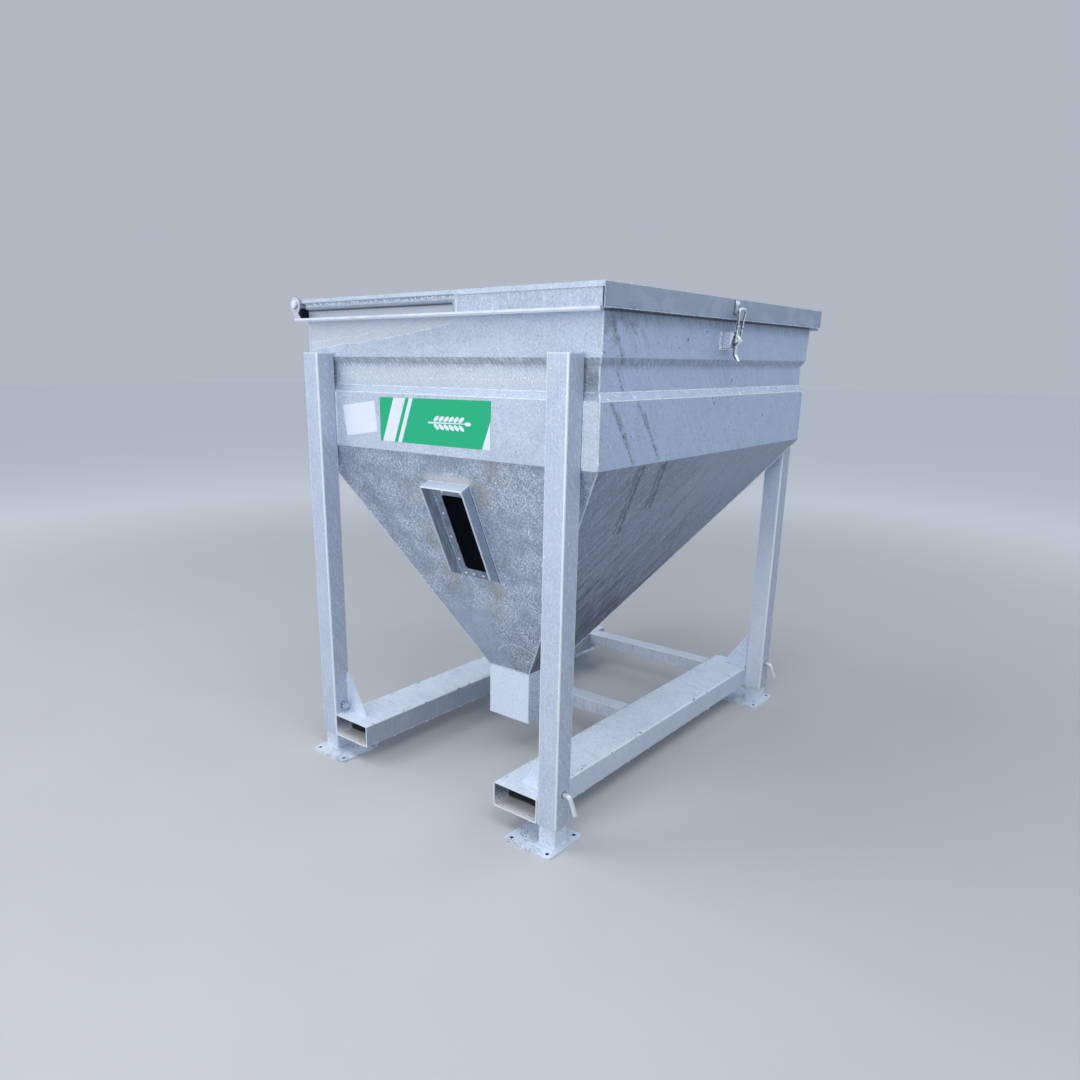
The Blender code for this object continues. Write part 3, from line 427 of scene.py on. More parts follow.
def trail(y, z, start, end, width):
    """1 on the line between two points of a side wall, fading over its width."""
    run_y, run_z = end[0] - start[0], end[1] - start[1]
    long = run_y * run_y + run_z * run_z
    along = (y - start[0]) * (run_y / long) + (z - start[1]) * (run_z / long)
    along = along.most(0.0).least(1.0)
    off_y = y - start[0] - along * run_y
    off_z = z - start[1] - along * run_z
    return (off_y * off_y + off_z * off_z).fade(width * width, width * width * 0.1)


def front_marks(place, paint, x, y, z):
    flat = place.flat(x, z)
    patch = place.grains(0.05, detail=3.0)
    swell = place.grains(0.16)
    level = z - (TIDE_HEIGHT + TIDE_SLOPE * x) + (patch - 0.5) * 0.012 + (swell - 0.5) * 0.03
    reach = x.fade(0.30, 0.0) * z.by(TOP_BAND_BOTTOM, 0.0, 0.003)
    paint(level.fade(0.0, 0.010) * reach * 0.60, TIDE_CREAM)
    ridge = level.near(0.002, 0.005).most(level.near(0.030, 0.005) * x.fade(-0.20, -0.40) * 0.7)
    paint(ridge * reach * patch.fade(0.30, 0.55) * 0.65, WHITE)
    wiped = place.grains(0.05, (6.0, 1.0, 1.0), (0.0, -TIDE_SLOPE * 2, 0.0), 3.0).fade(0.50, 0.72)
    paint(wiped * z.by(TOP_BAND_BOTTOM, 0.0, 0.003) * 0.35, PALE)
    # Painted light: the recess is painted paler, against the shade cast by the top band.
    paint(z.near(RECESS_MIDDLE, 0.055) * 0.60, RECESS_PAINTED_LIGHT)
    paint(swage_step(z) * 0.75, GREY)
    across = abs(x - MIDDLE_X)
    # Painted shade in the recess beside each leg.
    beside_leg_shade = across.fade(LEG_CENTRE_X - LEG_HALF - 0.040, LEG_CENTRE_X - LEG_HALF)
    paint(beside_leg_shade * z.near(RECESS_MIDDLE, 0.060) * 0.60, SLATE)
    # Painted light: the wall's top above the rim line is painted white, against the lid's shadow.
    paint(z.by(RIM_LINE, 0.0, 0.004) * 0.55, WHITE)
    bloom = place.grains(0.06, detail=4.0).fade(0.58, 0.75) * z.fade(RIM_LINE, 1.45)
    paint(bloom * 0.5, PALE)
    shaken = flat.streaks(0.0058, 1.5, detail=1.0)
    dense = (0.18 + 0.32 * patch.fade(0.42, 0.60)).most(z.near(RECESS_MIDDLE, 0.045) * 0.90)
    paint(shaken.fade(0.56, 0.65) * dense, WHITE)
    paint(shaken.fade(0.43, 0.35) * 0.25, GREY)
    spatter = place.grains(0.005, detail=1.0).fade(0.48, 0.60)
    beyond_leg = across.fade(LEG_CENTRE_X + LEG_HALF, LEG_CENTRE_X + LEG_HALF + 0.008)
    # Painted shade in the recess past each leg, towards the corner.
    paint(beyond_leg * z.near(RECESS_MIDDLE, 0.060) * 0.60, SLATE)
    spatter = (0.45 + 0.45 * spatter) * beyond_leg * z.by(LOWER_BAND_TOP, 0.0, -0.005)
    paint(spatter * 0.8, WHITE)
    # Painted shadow: a dark line on the wall just under the shallow skirt's edge.
    darkening = z.near(SKIRT_SHADOW_LINE, 0.0065) * x.by(SKIRT_STEP, 0.004, 0.0)
    paint(darkening * 0.8, SOOT_AND_SHADE)
    swage_marks(z, flat, 0.52, paint)


def side_marks(place, paint, x, y, z):
    flat = place.flat(y, z)
    wobble = (place.grains(0.018) - 0.5) * 0.016
    slant = flat.streaks(0.010, 22.0, DRIP_LEAN, 3.0)
    paint(slant.fade(0.52, 0.70) * 0.35, GREY)
    paint(slant.fade(0.46, 0.30) * 0.30, PALE)
    patch = place.grains(0.06, detail=4.0)
    smudge = patch.fade(0.46, 0.62) * y.fade(-0.45, -0.80) * z.fade(1.76, 1.84)
    paint(smudge * 0.55, SLATE)
    mottle = place.grains(0.006, detail=1.0)
    paint(mottle.fade(0.56, 0.68) * 0.30, PALE)
    paint(mottle.fade(0.42, 0.32) * 0.22, SLATE)
    dots = flat.streaks(0.008, 1.6, DRIP_LEAN, 3.0).fade(0.40, 0.58)
    for start, end in SIDE_TRAILS:
        haze = trail(y + wobble * 0.6 - 0.006, z, start, end, 0.020) * patch.fade(0.40, 0.56)
        paint(haze * 0.30, SLATE)
        line = trail(y + wobble * 0.6, z + wobble * 0.6, start, end, 0.0075)
        line = line.most(trail(y + wobble - 0.014, z + wobble, start, end, 0.006) * patch.fade(0.50, 0.56))
        paint(line * dots * 0.50, SOOT_AND_SHADE)
    for spot_y, spot_z in SIDE_SPOTS:
        spot = trail(y + wobble, z, (spot_y, spot_z), (spot_y + 0.001, spot_z - 0.004), 0.006)
        paint(spot * 0.8, SOOT_AND_SHADE)
    paint(place.grains(0.012, detail=1.0).fade(0.70, 0.76) * 0.7, SOOT_AND_SHADE)
    # Painted shade on the side walls round the rim under the lid, broken up by the zinc runs.
    lid_shade = z.near(RIM_LINE, 0.055) * (0.35 + 0.65 * slant.fade(0.42, 0.58))
    paint(lid_shade * 0.55, SLATE)
    # Painted shadow: a dark line just under the fascia's lower edge.
    paint(z.near(FASCIA_SHADOW_LINE, 0.0080) * 0.80, SOOT_AND_SHADE)
    ticks = flat.streaks(0.0045, 9.0, COMB_LEAN, 2.0).fade(0.52, 0.60)
    step = swage_step(z)
    paint(step * 0.35, GREY)
    paint(ticks * step * patch.fade(0.38, 0.60) * 0.5, WHITE)
    swage_marks(z, flat, 0.45, paint)


FRONT_TONES = ((0.44, 0.51, 0.63), (0.56, 0.64, 0.77), (0.68, 0.76, 0.88))
# Painted shade: the side walls' zinc is a darker copy of the front walls' zinc.
SHADED_SIDE_TONES = ((0.35, 0.43, 0.58), (0.43, 0.53, 0.73), (0.54, 0.64, 0.83))
coat(zinc("front_zinc", front_marks, FRONT_TONES, crystal=0.006, sparkle=0.6, cloud=0.35),
     "wall_front", "wall_back")
coat(zinc("shaded_side_zinc", side_marks, SHADED_SIDE_TONES, crystal=0.005, sparkle=0.30, cloud=0.35, flecks=0.15,
          pores=0.12), "wall_right", "wall_left")

# Hopper plates: four mitred 3 mm plates that slope down to the outlet, duller than the walls.
# The front shows a coarse cross-hatched spangle and rusty stains round the window, and the sides show
# slanting runs. The side plates wear darker tones than the front and back, partly as painted shade, and
# painted shade lies along the tops of the front and back plates.
HOPPER_BOTTOM = 0.4055
OUTLET_FRONT = -0.418
OUTLET_BACK = -0.186
WINDOW_CENTRE = 0.0058
SMEAR_Z = 1.318
SCRATCH_CENTRE = (0.09, 0.42)
SCRATCH_RADIUS_SQUARED = 0.0235
RUST = (0.37, 0.34, 0.27)
STROKE_WHITE = (0.84, 0.90, 0.99)
SMEAR_CREAM = (0.66, 0.66, 0.64)
FRONT_STAINS = [
    (0.167, 1.279, 0.060, 0.55),
    (-0.215, 1.240, 0.055, 0.45),
    (-0.200, 1.050, 0.060, 0.45),
    (-0.172, 0.860, 0.085, 0.55),
    (0.084, 0.835, 0.060, 0.55),
    (0.042, 0.720, 0.065, 0.30),
    (0.250, 1.360, 0.070, 0.35),
]
PLATE_TRAILS = [
    ((-0.560, 1.400), (-0.436, 1.124)),
    ((-0.400, 1.400), (-0.300, 1.215)),
    ((-0.330, 0.880), (-0.400, 0.760)),
    ((0.010, 0.710), (-0.150, 0.575)),
    ((0.600, 1.100), (0.370, 0.915)),
]


def hatch(flat, lean):
    """Short pale strokes that all lean one way on a plate."""
    return flat.streaks(0.0044, 3.0, lean, 1.0).fade(0.55, 0.63)


def front_plate_marks(place, paint, x, y, z):
    flat = place.flat(x, z)
    patch = place.grains(0.05, detail=3.0)
    sheen = place.grains(0.11, detail=5.0)
    paint(sheen.fade(0.54, 0.40) * 0.22, SLATE)
    dark_strokes = hatch(flat, 24) * patch.fade(0.60, 0.42)
    paint(dark_strokes * 0.50, SLATE)
    strokes = hatch(flat, 38).most(hatch(flat, -42))
    paint(strokes * (0.32 + 0.66 * sheen.fade(0.42, 0.58)), STROKE_WHITE)
    sparks = flat.streaks(0.0075, 1.5, detail=1.0).fade(0.62, 0.68) * patch.fade(0.42, 0.54)
    paint(sparks * 0.85, STROKE_WHITE)
    paint(place.grains(0.0055, detail=1.0).fade(0.55, 0.64) * 0.65, SLATE)
    for lean in (38, -42):
        drawn = flat.streaks(0.0055, 14.0, lean, 2.0)
        paint(drawn.fade(0.57, 0.66) * 0.45, PALE)
        paint(drawn.fade(0.42, 0.33) * 0.45, SLATE)
    paint(z.fade(0.80, 0.66) * x.fade(0.06, -0.04) * 0.6, GREY)
    dull = z.fade(0.72, 0.60) * x.fade(-0.02, 0.08) * patch.fade(0.3, 0.6)
    paint(dull * (1 - strokes) * 0.60, SLATE)
    # Painted shade along the top of the plate, under the wall's lower edge.
    paint(z.fade(1.375, HOPPER_TOP) * 0.30, SLATE)
    ahead = y.by(OUTLET_FRONT, 0.12, 0.02)
    for stain_x, stain_z, size, strength in FRONT_STAINS:
        off_x, off_z = x - stain_x, (z - stain_z) * 0.8
        stain = (off_x * off_x + off_z * off_z).fade(size * size, 0.0) * patch.fade(0.30, 0.62)
        paint(stain * ahead * strength, RUST)
    smear = abs(x - WINDOW_CENTRE - 0.008).fade(0.155, 0.095) * z.near(SMEAR_Z, 0.034)
    smear = smear * patch.fade(0.15, 0.50) * ahead
    paint(smear * 0.85, SMEAR_CREAM)
    ring_x, ring_z = x - SCRATCH_CENTRE[0], (z - SCRATCH_CENTRE[1]) * 1.1
    scratch = (ring_x * ring_x + ring_z * ring_z).near(SCRATCH_RADIUS_SQUARED, 0.0018) * z.fade(0.48, 0.52)
    paint(scratch * patch.fade(0.25, 0.40) * 0.8, PALE)


def side_plate_marks(place, paint, x, y, z):
    flat = place.flat(y, z)
    lower = z.fade(1.15, 0.75)
    long_runs = flat.streaks(0.015, 13.0, -24, 3.0)
    wide_runs = flat.streaks(0.040, 7.0, 34, 3.0)
    paint(long_runs.fade(0.52, 0.66) * (0.55 - 0.35 * lower), SLATE)
    paint(wide_runs.fade(0.54, 0.68) * 0.65, SLATE)
    paint(wide_runs.fade(0.46, 0.32) * 0.55, GREY)
    mottle = place.grains(0.006)
    paint(mottle.fade(0.54, 0.66) * 0.25, GREY)
    paint(mottle.fade(0.46, 0.36) * 0.25, SOOT_AND_SHADE)
    sweeps = flat.streaks(0.025, 8.0, 42, 5.0)
    paint(sweeps.fade(0.53, 0.62) * (0.20 + 0.35 * lower), GREY)
    paint(sweeps.fade(0.45, 0.38) * (0.15 + 0.40 * lower), SOOT_AND_SHADE)
    paint(z.fade(1.05, 1.30) * y.fade(-0.45, 0.10) * 0.42, GREY)
    paint(flat.streaks(0.005, 4.0, 42, 1.0).fade(0.62, 0.70) * 0.60, PALE)
    wobble = (place.grains(0.03, detail=3.0) - 0.5) * 0.05
    for start, end in PLATE_TRAILS:
        line = trail(y + wobble, z, start, end, 0.013)
        line = line.most(trail(y + wobble + 0.030, z, start, end, 0.010) * 0.7)
        paint(line * mottle.fade(0.40, 0.50) * 0.75, SOOT_AND_SHADE)
    low = z.fade(1.12, 0.52) * (0.40 + 0.60 * long_runs.fade(0.35, 0.6))
    paint(low * 0.76, SOOT_AND_SHADE)


PLATE_TONES = ((0.255, 0.312, 0.425), (0.375, 0.455, 0.60), (0.50, 0.59, 0.755))
# Partly painted shade: the hopper's side plates wear these darker tones than the front and back plates.
SLATE_TONES = ((0.195, 0.24, 0.325), (0.27, 0.327, 0.435), (0.365, 0.43, 0.55))
coat(zinc("front_plate_zinc", front_plate_marks, PLATE_TONES, crystal=0.006, sparkle=0.6, cloud=0.4,
          flecks=0.45, relief=0.0007), "hopper_front", "hopper_back")
coat(zinc("shaded_side_plate_zinc", side_plate_marks, SLATE_TONES, crystal=0.005, sparkle=0.4, cloud=0.4,
          flecks=0.10, pores=0.12), "hopper_right", "hopper_left")

# Outlet chute: a square sleeve of sheet welded under the hopper, pale, with faint upright seams.
# Its left and right sides are painted greyer, partly as painted shade, and are mottled by the zinc that
# ran down the hopper.
CHUTE_HALF = 0.1175
CHUTE_TONES = ((0.70, 0.82, 1.0), (0.78, 0.89, 1.0), (0.84, 0.93, 1.0))


def chute_marks(place, paint, x, y, z):
    paint(place.streaks(0.012, 40.0).fade(0.60, 0.72) * 0.20, GREY)
    # Partly painted shade: the left and right sides are painted greyer, with zinc mottle in it.
    side = abs(x - MIDDLE_X).by(CHUTE_HALF, -0.003, -0.001)
    mottle = place.grains(0.012)
    paint(side * (0.45 + 0.50 * mottle.fade(0.46, 0.56)), GREY)
    paint(mottle.fade(0.56, 0.66) * 0.4, WHITE)


coat(zinc("chute_zinc", chute_marks, CHUTE_TONES, sparkle=0.5, cloud=0.3, metallic=0.05), "outlet_chute")

# Sight window: a folded sheet hood round a slotted frame, which clamps a clear pane with blind rivets.
# The hood's rim is worn bright, its cheeks are painted dark inside as painted shade, and the clear pane is
# painted near-black for the shaded bin behind it.
SLOPE = Vector((0.0, -WALL_HALF_Y - OUTLET_FRONT, HOPPER_TOP - HOPPER_BOTTOM)).normalized()
SLOPE_OUT = Vector((0.0, -SLOPE.z, SLOPE.y))
SLOPE_START = Vector((0.0, -WALL_HALF_Y, HOPPER_TOP))
HOOD_HALF_WIDTH = 0.11205
HOOD_DEPTH = 0.052
HOOD_TOP = -0.1212
HOOD_BOTTOM = -0.578
FRAME_FACE = 0.0033
RIVET_RADIUS = 0.0058
RIVET_HEIGHT = 0.0034
PANE_SHADE_BLACK = (0.001, 0.001, 0.003)
PANE_FILM = (0.006, 0.008, 0.018)
RIVETS = [(0.085, -0.2707), (0.085, -0.3831), (0.085, -0.4971), (0.0715, -0.5673), (0.0266, -0.5673),
          (0.0500, -0.1640)]


def on_slope(across, up, out):
    """A point on the hopper's front plate."""
    return SLOPE_START + Vector((WINDOW_CENTRE + across, 0.0, 0.0)) + SLOPE * up + SLOPE_OUT * out


def settle(name, bm, material, body="frame", sharp=35):
    """Make a finished piece of a bmesh, with its material and its body."""
    bmesh.ops.recalc_face_normals(bm, faces=bm.faces)
    mesh = bpy.data.meshes.new(name)
    bm.to_mesh(mesh)
    bm.free()
    mesh.materials.append(material)
    mesh.shade_smooth()
    mesh.set_sharp_from_angle(angle=math.radians(sharp))
    piece = bpy.data.objects.new(name, mesh)
    bpy.context.collection.objects.link(piece)
    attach(piece, body)


def add_dome(bm, place, out, radius, height):
    """Low round rivet head: half a ball, flattened, with its flat side on the surface."""
    turn = out.to_track_quat("Z", "Y").to_matrix().to_4x4()
    stretch = Matrix.Diagonal((radius, radius, height, 1.0))
    ball = bmesh.ops.create_uvsphere(bm, u_segments=12, v_segments=8, radius=1.0,
                                     matrix=Matrix.Translation(place) @ turn @ stretch)
    geometry = ball["verts"] + list({edge for vert in ball["verts"] for edge in vert.link_edges})
    geometry += list({face for vert in ball["verts"] for face in vert.link_faces})
    bmesh.ops.bisect_plane(bm, geom=geometry, plane_co=place - out * 0.0004, plane_no=out, clear_inner=True)


def hood_marks(place, paint, x, y, z):
    out = (y + WALL_HALF_Y) * SLOPE_OUT.y + (z - HOPPER_TOP) * SLOPE_OUT.z
    up = (y + WALL_HALF_Y) * SLOPE.y + (z - HOPPER_TOP) * SLOPE.z
    rim = out.by(HOOD_DEPTH, -0.0065, -0.0045)
    roof = up.by(HOOD_TOP, -0.0035, -0.0015)
    inner = abs(x - WINDOW_CENTRE).by(HOOD_HALF_WIDTH, -0.0010, -0.0020)
    inner = inner * (1 - roof) * (1 - rim)
    # Painted shade inside the hood's cheeks.
    paint(inner * 0.60, SLATE)
    scuffs = place.grains(0.008, (1.0, 1.0, 10.0), (0.42, 0.0, 0.0), 3.0).fade(0.46, 0.62)
    paint(scuffs * inner * 0.60, LIGHT)
    outer = (1 - inner) * (1 - roof) * (1 - rim)
    paint(outer * (0.15 + 0.25 * scuffs), SLATE)
    # Painted shade where the hood's cheeks meet the plate.
    root_shade = outer * (out + (scuffs - 0.5) * 0.003).fade(0.007, 0.003)
    paint(root_shade * 0.75, SOOT_AND_SHADE)
    paint(roof * 0.60, PALE)
    crown = (roof * out.by(HOOD_DEPTH, -0.008, -0.004)).most(rim)
    paint(crown * 0.95, WHITE)


def window_frame_marks(place, paint, x, y, z):
    paint(place.grains(0.03, detail=4.0).fade(0.45, 0.70) * 0.5, SOOT_AND_SHADE)


coat(zinc("hood_zinc", hood_marks, PLATE_TONES, sparkle=0.3, cloud=0.4), "window_hood")
coat(zinc("window_frame_zinc", window_frame_marks, SLATE_TONES, sparkle=0.2, cloud=0.4), "window_frame")
RIVET_TONES = ((0.80, 0.84, 0.90), (0.90, 0.93, 0.97), (0.98, 0.99, 1.0))
rivet_zinc = zinc("rivet_zinc", None, RIVET_TONES, crystal=0.002, roughness=0.30, metallic=0.2,
                  relief=0.0001)

# Painted shade: the clear pane is painted near-black, for the dark bin behind it.
pane, pane_place = bare_material("window_pane_painted_dark")
film = pane_place.grains(0.03, detail=4.0).fade(0.45, 0.8)
close_material(pane_place, {
    "Base Color": (film * 0.6).blend(PANE_SHADE_BLACK, PANE_FILM),
    "Roughness": 0.30 + film * 0.35, "Specular IOR Level": 0.02})
coat(pane, "window_pane")

rivets = bmesh.new()
for side in (-1, 1):
    for across, up in RIVETS:
        add_dome(rivets, on_slope(side * across, up, FRAME_FACE), SLOPE_OUT, RIVET_RADIUS, RIVET_HEIGHT)
settle("window_rivets", rivets, rivet_zinc)

# Rails, hinge guard and hinge ears: folded angles welded round the bin's rim, with a rounded ear for each
# hinge bolt. Their narrow lips carry a painted highlight above and painted shade below. The guard's inner
# face is painted near-black, and each ear is painted dark under its bolt head and round its lower rim, all
# as painted shade.
RAIL_MIDDLE = 1.9225
GUARD_INSIDE = -0.7836
HINGE_X = -0.76875
HINGE_Z = 1.986
HINGE_HEAD = 0.0168
EAR_RADIUS = 0.0325
RAIL_LIP = 0.9245
EAR_TONES = ((0.46, 0.50, 0.56), (0.58, 0.63, 0.70), (0.72, 0.76, 0.82))


def rail_marks(place, paint, x, y, z):
    # Painted highlight on the lip's upper part, broken up in patches, and painted shade on its lower part.
    lip = abs(y).by(RAIL_LIP, -0.0010, 0.0010)
    patchy = place.grains(0.02, (3.0, 1.0, 1.0), detail=3.0).fade(0.35, 0.60)
    paint(lip * (0.45 + 0.45 * patchy), WHITE)
    paint(lip * z.by(RAIL_MIDDLE, 0.001, -0.001) * 0.75, GREY)


def guard_marks(place, paint, x, y, z):
    # Painted shade: the guard's inner face is painted near-black.
    paint(x.by(GUARD_INSIDE, -0.0010, -0.0004) * 0.95, SOOT_AND_SHADE)


def ear_marks(place, paint, x, y, z):
    off_x, off_z = x - HINGE_X, z - HINGE_Z
    round_it = off_x * off_x + off_z * off_z
    head = round_it.fade((HINGE_HEAD - 0.001) ** 2, (HINGE_HEAD - 0.003) ** 2)
    paint(head * 0.8, WHITE)
    # Painted shadow under the bolt head, as a dark ring on its lower side.
    ring = round_it.fade((HINGE_HEAD - 0.0025) ** 2, HINGE_HEAD ** 2)
    ring = ring * round_it.fade((HINGE_HEAD + 0.0045) ** 2, (HINGE_HEAD + 0.0015) ** 2)
    paint(ring * off_z.fade(0.012, -0.006) * 0.75, SOOT_AND_SHADE)
    # Painted shade on the ear's lower rim.
    rim = round_it.fade((EAR_RADIUS - 0.004) ** 2, (EAR_RADIUS - 0.001) ** 2)
    paint(rim * z.by(HINGE_Z, -0.020, 0.0) * 0.7, SLATE)


coat(zinc("rail_zinc", rail_marks, FRONT_TONES, sparkle=0.4, cloud=0.4), "rail_front", "rail_back")
coat(zinc("guard_zinc", guard_marks, FRONT_TONES, sparkle=0.4, cloud=0.4), "hinge_guard")
coat(zinc("ear_zinc", ear_marks, EAR_TONES, crystal=0.004, sparkle=0.7, roughness=0.45),
     "hinge_ear_front", "hinge_ear_back")

# Lid: one flat sheet folded down into narrow lips and a deep fascia, with a stepped skirt behind
# each lip, and a hinge tube along the left side.
# Ash-like specks and runs of zinc mark the skirts, which hung lowest in the bath. The right-hand fascia and
# the shallow skirts are painted darker as painted shade, with painted shade lines under the lip and the
# tube.
LID_FACE = 0.7766 + MIDDLE_X
FASCIA_BOTTOM = 1.927
LID_TOP = 2.004
SKIRT_JOINT_X = 0.150
SKIRT_ROW = 1.984
LIP_BOTTOM = 1.987
TUBE_LINE = 1.9715
FASCIA_SHADE_GREY = (0.27, 0.335, 0.44)
SKIRT_TONES = ((0.37, 0.43, 0.54), (0.48, 0.55, 0.67), (0.59, 0.66, 0.78))


def lid_marks(place, paint, x, y, z):
    fascia = x.by(LID_FACE, -0.0015, -0.0005)
    brushed = place.grains(0.05, (1.0, 2.0, 1.0), detail=5.0)
    # Painted shade: the right-hand fascia is painted darker than the lid's top, broken up by brushed
    # streaks.
    paint(fascia * (0.72 + 0.18 * brushed.fade(0.44, 0.56)), FASCIA_SHADE_GREY)
    paint(fascia * y.fade(-0.55, -0.90) * 0.35, SLATE)
    ragged = (place.grains(0.012, detail=3.0) - 0.5) * 0.006
    edge = (z + ragged).near(FASCIA_BOTTOM, 0.0022).most((z + ragged).near(LID_TOP, 0.0040) * 0.9)
    paint(fascia * edge * 0.9, WHITE)
    chips = place.grains(0.008).fade(0.60, 0.68) * z.near(FASCIA_BOTTOM, 0.010)
    paint(fascia * chips * 0.7, SOOT_AND_SHADE)
    # Painted shade: a dark line at the foot of the front lip over the shallow skirt.
    lip_shade = z.near(LIP_BOTTOM + 0.0015, 0.0040) * x.by(SKIRT_STEP, 0.010, 0.0)
    paint(lip_shade * 0.75, SLATE)
    stains = place.grains(0.09, (1.0, 2.0, 1.0), detail=5.0).fade(0.50, 0.66)
    paint(stains * z.by(LID_TOP, -0.002, 0.0) * 0.40, GREY)


def skirt_marks(place, paint, x, y, z):
    specks = place.grains(0.007, (1.3, 1.0, 1.0), detail=3.0)
    shallow = x.by(SKIRT_STEP, 0.010, 0.0)
    # Painted shade: the shallow skirt under the speck row is painted greyer.
    paint(shallow * z.by(SKIRT_ROW, 0.0, -0.008) * 0.65, GREY)
    row = shallow * z.near(SKIRT_ROW, 0.008)
    paint(specks.fade(0.48, 0.58) * (0.10 + row * 0.70), SLATE)
    paint(specks.fade(0.46, 0.38) * (0.15 + row * 0.75), WHITE)
    paint(place.streaks(0.014, 5.0).fade(0.54, 0.66) * 0.35, PALE)
    uneven = (place.grains(0.02, (3.0, 1.0, 1.0)) - 0.5) * 0.003
    # Painted shade on the shallow skirt below the tube line.
    tube_shade = (z + uneven).by(TUBE_LINE, 0.0015, 0.0)
    paint(tube_shade * shallow * 0.65, SLATE)
    paint((x - MIDDLE_X).near(SKIRT_JOINT_X, 0.0035) * 0.7, WHITE)
    stains = place.streaks(0.030, 3.0, detail=3.0).fade(0.54, 0.66)
    paint(stains * (1 - shallow) * 0.30, GREY)


coat(zinc("lid_zinc", lid_marks, FRONT_TONES, sparkle=0.45, cloud=0.6, roughness=0.45),
     "lid_sheet", "lid_hinge_tube")
coat(zinc("skirt_zinc", skirt_marks, SKIRT_TONES, sparkle=0.6, cloud=0.6),
     "lid_skirt_front", "lid_skirt_back")

# Toggle latch: a pressed wall base, a hand lever and a wire bow over a hook on the lid.
# It is bought ready made, bright zinc plated, and riveted and bolted on. Painted shade darkens its
# corners, sides and gaps, and its base's edges carry a painted highlight.
KEEPER_FACE = 0.77315
KEEPER_EDGE = 0.017
KEEPER_BEND = 1.980
KEEPER_BOLTS = [(-0.0105, 1.987), (0.0105, 1.987)]
LEVER_EDGE = 0.0125
BOW_FOOT = (0.78525, 1.848)
BOW_LEAN = 0.012 / 0.118
BOW_NUT_Z = 1.902
BOW_ARCH = 1.960
RIB_Y = 0.032
HUB_X = 0.772
BASE_EDGE = 0.055
BASE_BOTTOM = 1.815
BASE_FACE = 0.73955
KEEPER_BOLT_RADIUS = 0.0062
KEEPER_BOLT_HEIGHT = 0.0042
BASE_RIVET_RADIUS = 0.0045
BASE_RIVET_HEIGHT = 0.0022
BASE_RIVETS = [(-0.045, 1.874), (-0.045, 1.825), (0.045, 1.874), (0.045, 1.825)]
LATCH_TONES = ((0.60, 0.65, 0.73), (0.80, 0.85, 0.92), (0.95, 0.97, 1.0))


def painted_shade(place, paint, where):
    """Painted shade in a place, broken up in patches."""
    breakup = place.grains(0.006, detail=3.0).fade(0.64, 0.46)
    paint(where * (0.45 + 0.50 * breakup), SOOT_AND_SHADE)


def keeper_marks(place, paint, x, y, z):
    # Painted shade below the bend behind the keeper's face, and along its sides.
    paint(z.by(KEEPER_BEND, 0.002, -0.002) * x.by(KEEPER_FACE, 0.002, 0.0) * 0.8, GREY)
    painted_shade(place, paint, abs(y).by(KEEPER_EDGE, -0.0030, -0.0015))


def base_marks(place, paint, x, y, z):
    plate = x.by(BASE_FACE, 0.0015, 0.0)
    # Painted shade behind the hub and at the feet of the ribs.
    paint(x.by(HUB_X, 0.0, -0.004) * 0.55, SHADED_SIDE_TONES[0])
    painted_shade(place, paint, plate * abs(y).near(RIB_Y, 0.005))
    # Painted highlight along the base's side and bottom edges.
    edge_highlight = abs(y).by(BASE_EDGE, -0.0035, -0.0020)
    edge_highlight = edge_highlight.most(z.by(BASE_BOTTOM, 0.005, 0.003))
    paint(edge_highlight * 0.9, WHITE)


def lever_marks(place, paint, x, y, z):
    # Painted shade along the lever's sides.
    painted_shade(place, paint, abs(y).by(LEVER_EDGE, -0.0012, -0.0004))


def bow_marks(place, paint, x, y, z):
    rod_x = x - (z - BOW_FOOT[1]) * BOW_LEAN - BOW_FOOT[0]
    # Painted shade on the rods' inner half and in the gaps beside the nuts.
    painted_shade(place, paint, rod_x.fade(0.0030, 0.0015) * z.by(BOW_ARCH, 0.0, -0.005))
    above = abs(z - BOW_NUT_Z)
    painted_shade(place, paint, above.fade(0.0040, 0.0050) * above.fade(0.0085, 0.0070))


LATCH_MARKS = {"keeper": keeper_marks, "base": base_marks, "lever": lever_marks, "bow": bow_marks}
for name, marks in LATCH_MARKS.items():
    coat(zinc(f"{name}_bright_zinc", marks, LATCH_TONES, crystal=0.002, sparkle=0.5, flecks=0.2, pores=0.1,
              roughness=0.28, metallic=0.35, relief=0.0002), f"latch_{name}")
OUT_X = Vector((1.0, 0.0, 0.0))
bolts = bmesh.new()
for y, z in KEEPER_BOLTS:
    add_dome(bolts, Vector((KEEPER_FACE, y, z)), OUT_X, KEEPER_BOLT_RADIUS, KEEPER_BOLT_HEIGHT)
settle("keeper_bolts", bolts, rivet_zinc, "lid")
rivets = bmesh.new()
for y, z in BASE_RIVETS:
    add_dome(rivets, Vector((BASE_FACE, y, z)), OUT_X, BASE_RIVET_RADIUS, BASE_RIVET_HEIGHT)
settle("latch_base_rivets", rivets, rivet_zinc)

# Weld runs: rippled beads where the tubes, plates and sheets meet. They were laid by hand before the
# zinc bath, so zinc covers them like the rest.
BEAD_STEP = 0.0035
BEAD_RIPPLE = 0.0075
BEAD_SIDES = 6
BEAD_WIDE = 0.0040
BEAD_CORNER = 0.0038
BEAD_FOOT = 0.0032
BEAD_SEAM = 0.0030
BEAD_FINE = 0.0026
BEAD_HOOD = 0.0024
BEAD_THIN = 0.0020
BEAD_CAP = 0.0016
RECESS_DEPTH = 0.016
CORNER_WELD_TOP = 1.922
CORNERS = [(sign_x, sign_y) for sign_x in (-1, 1) for sign_y in (-1, 1)]


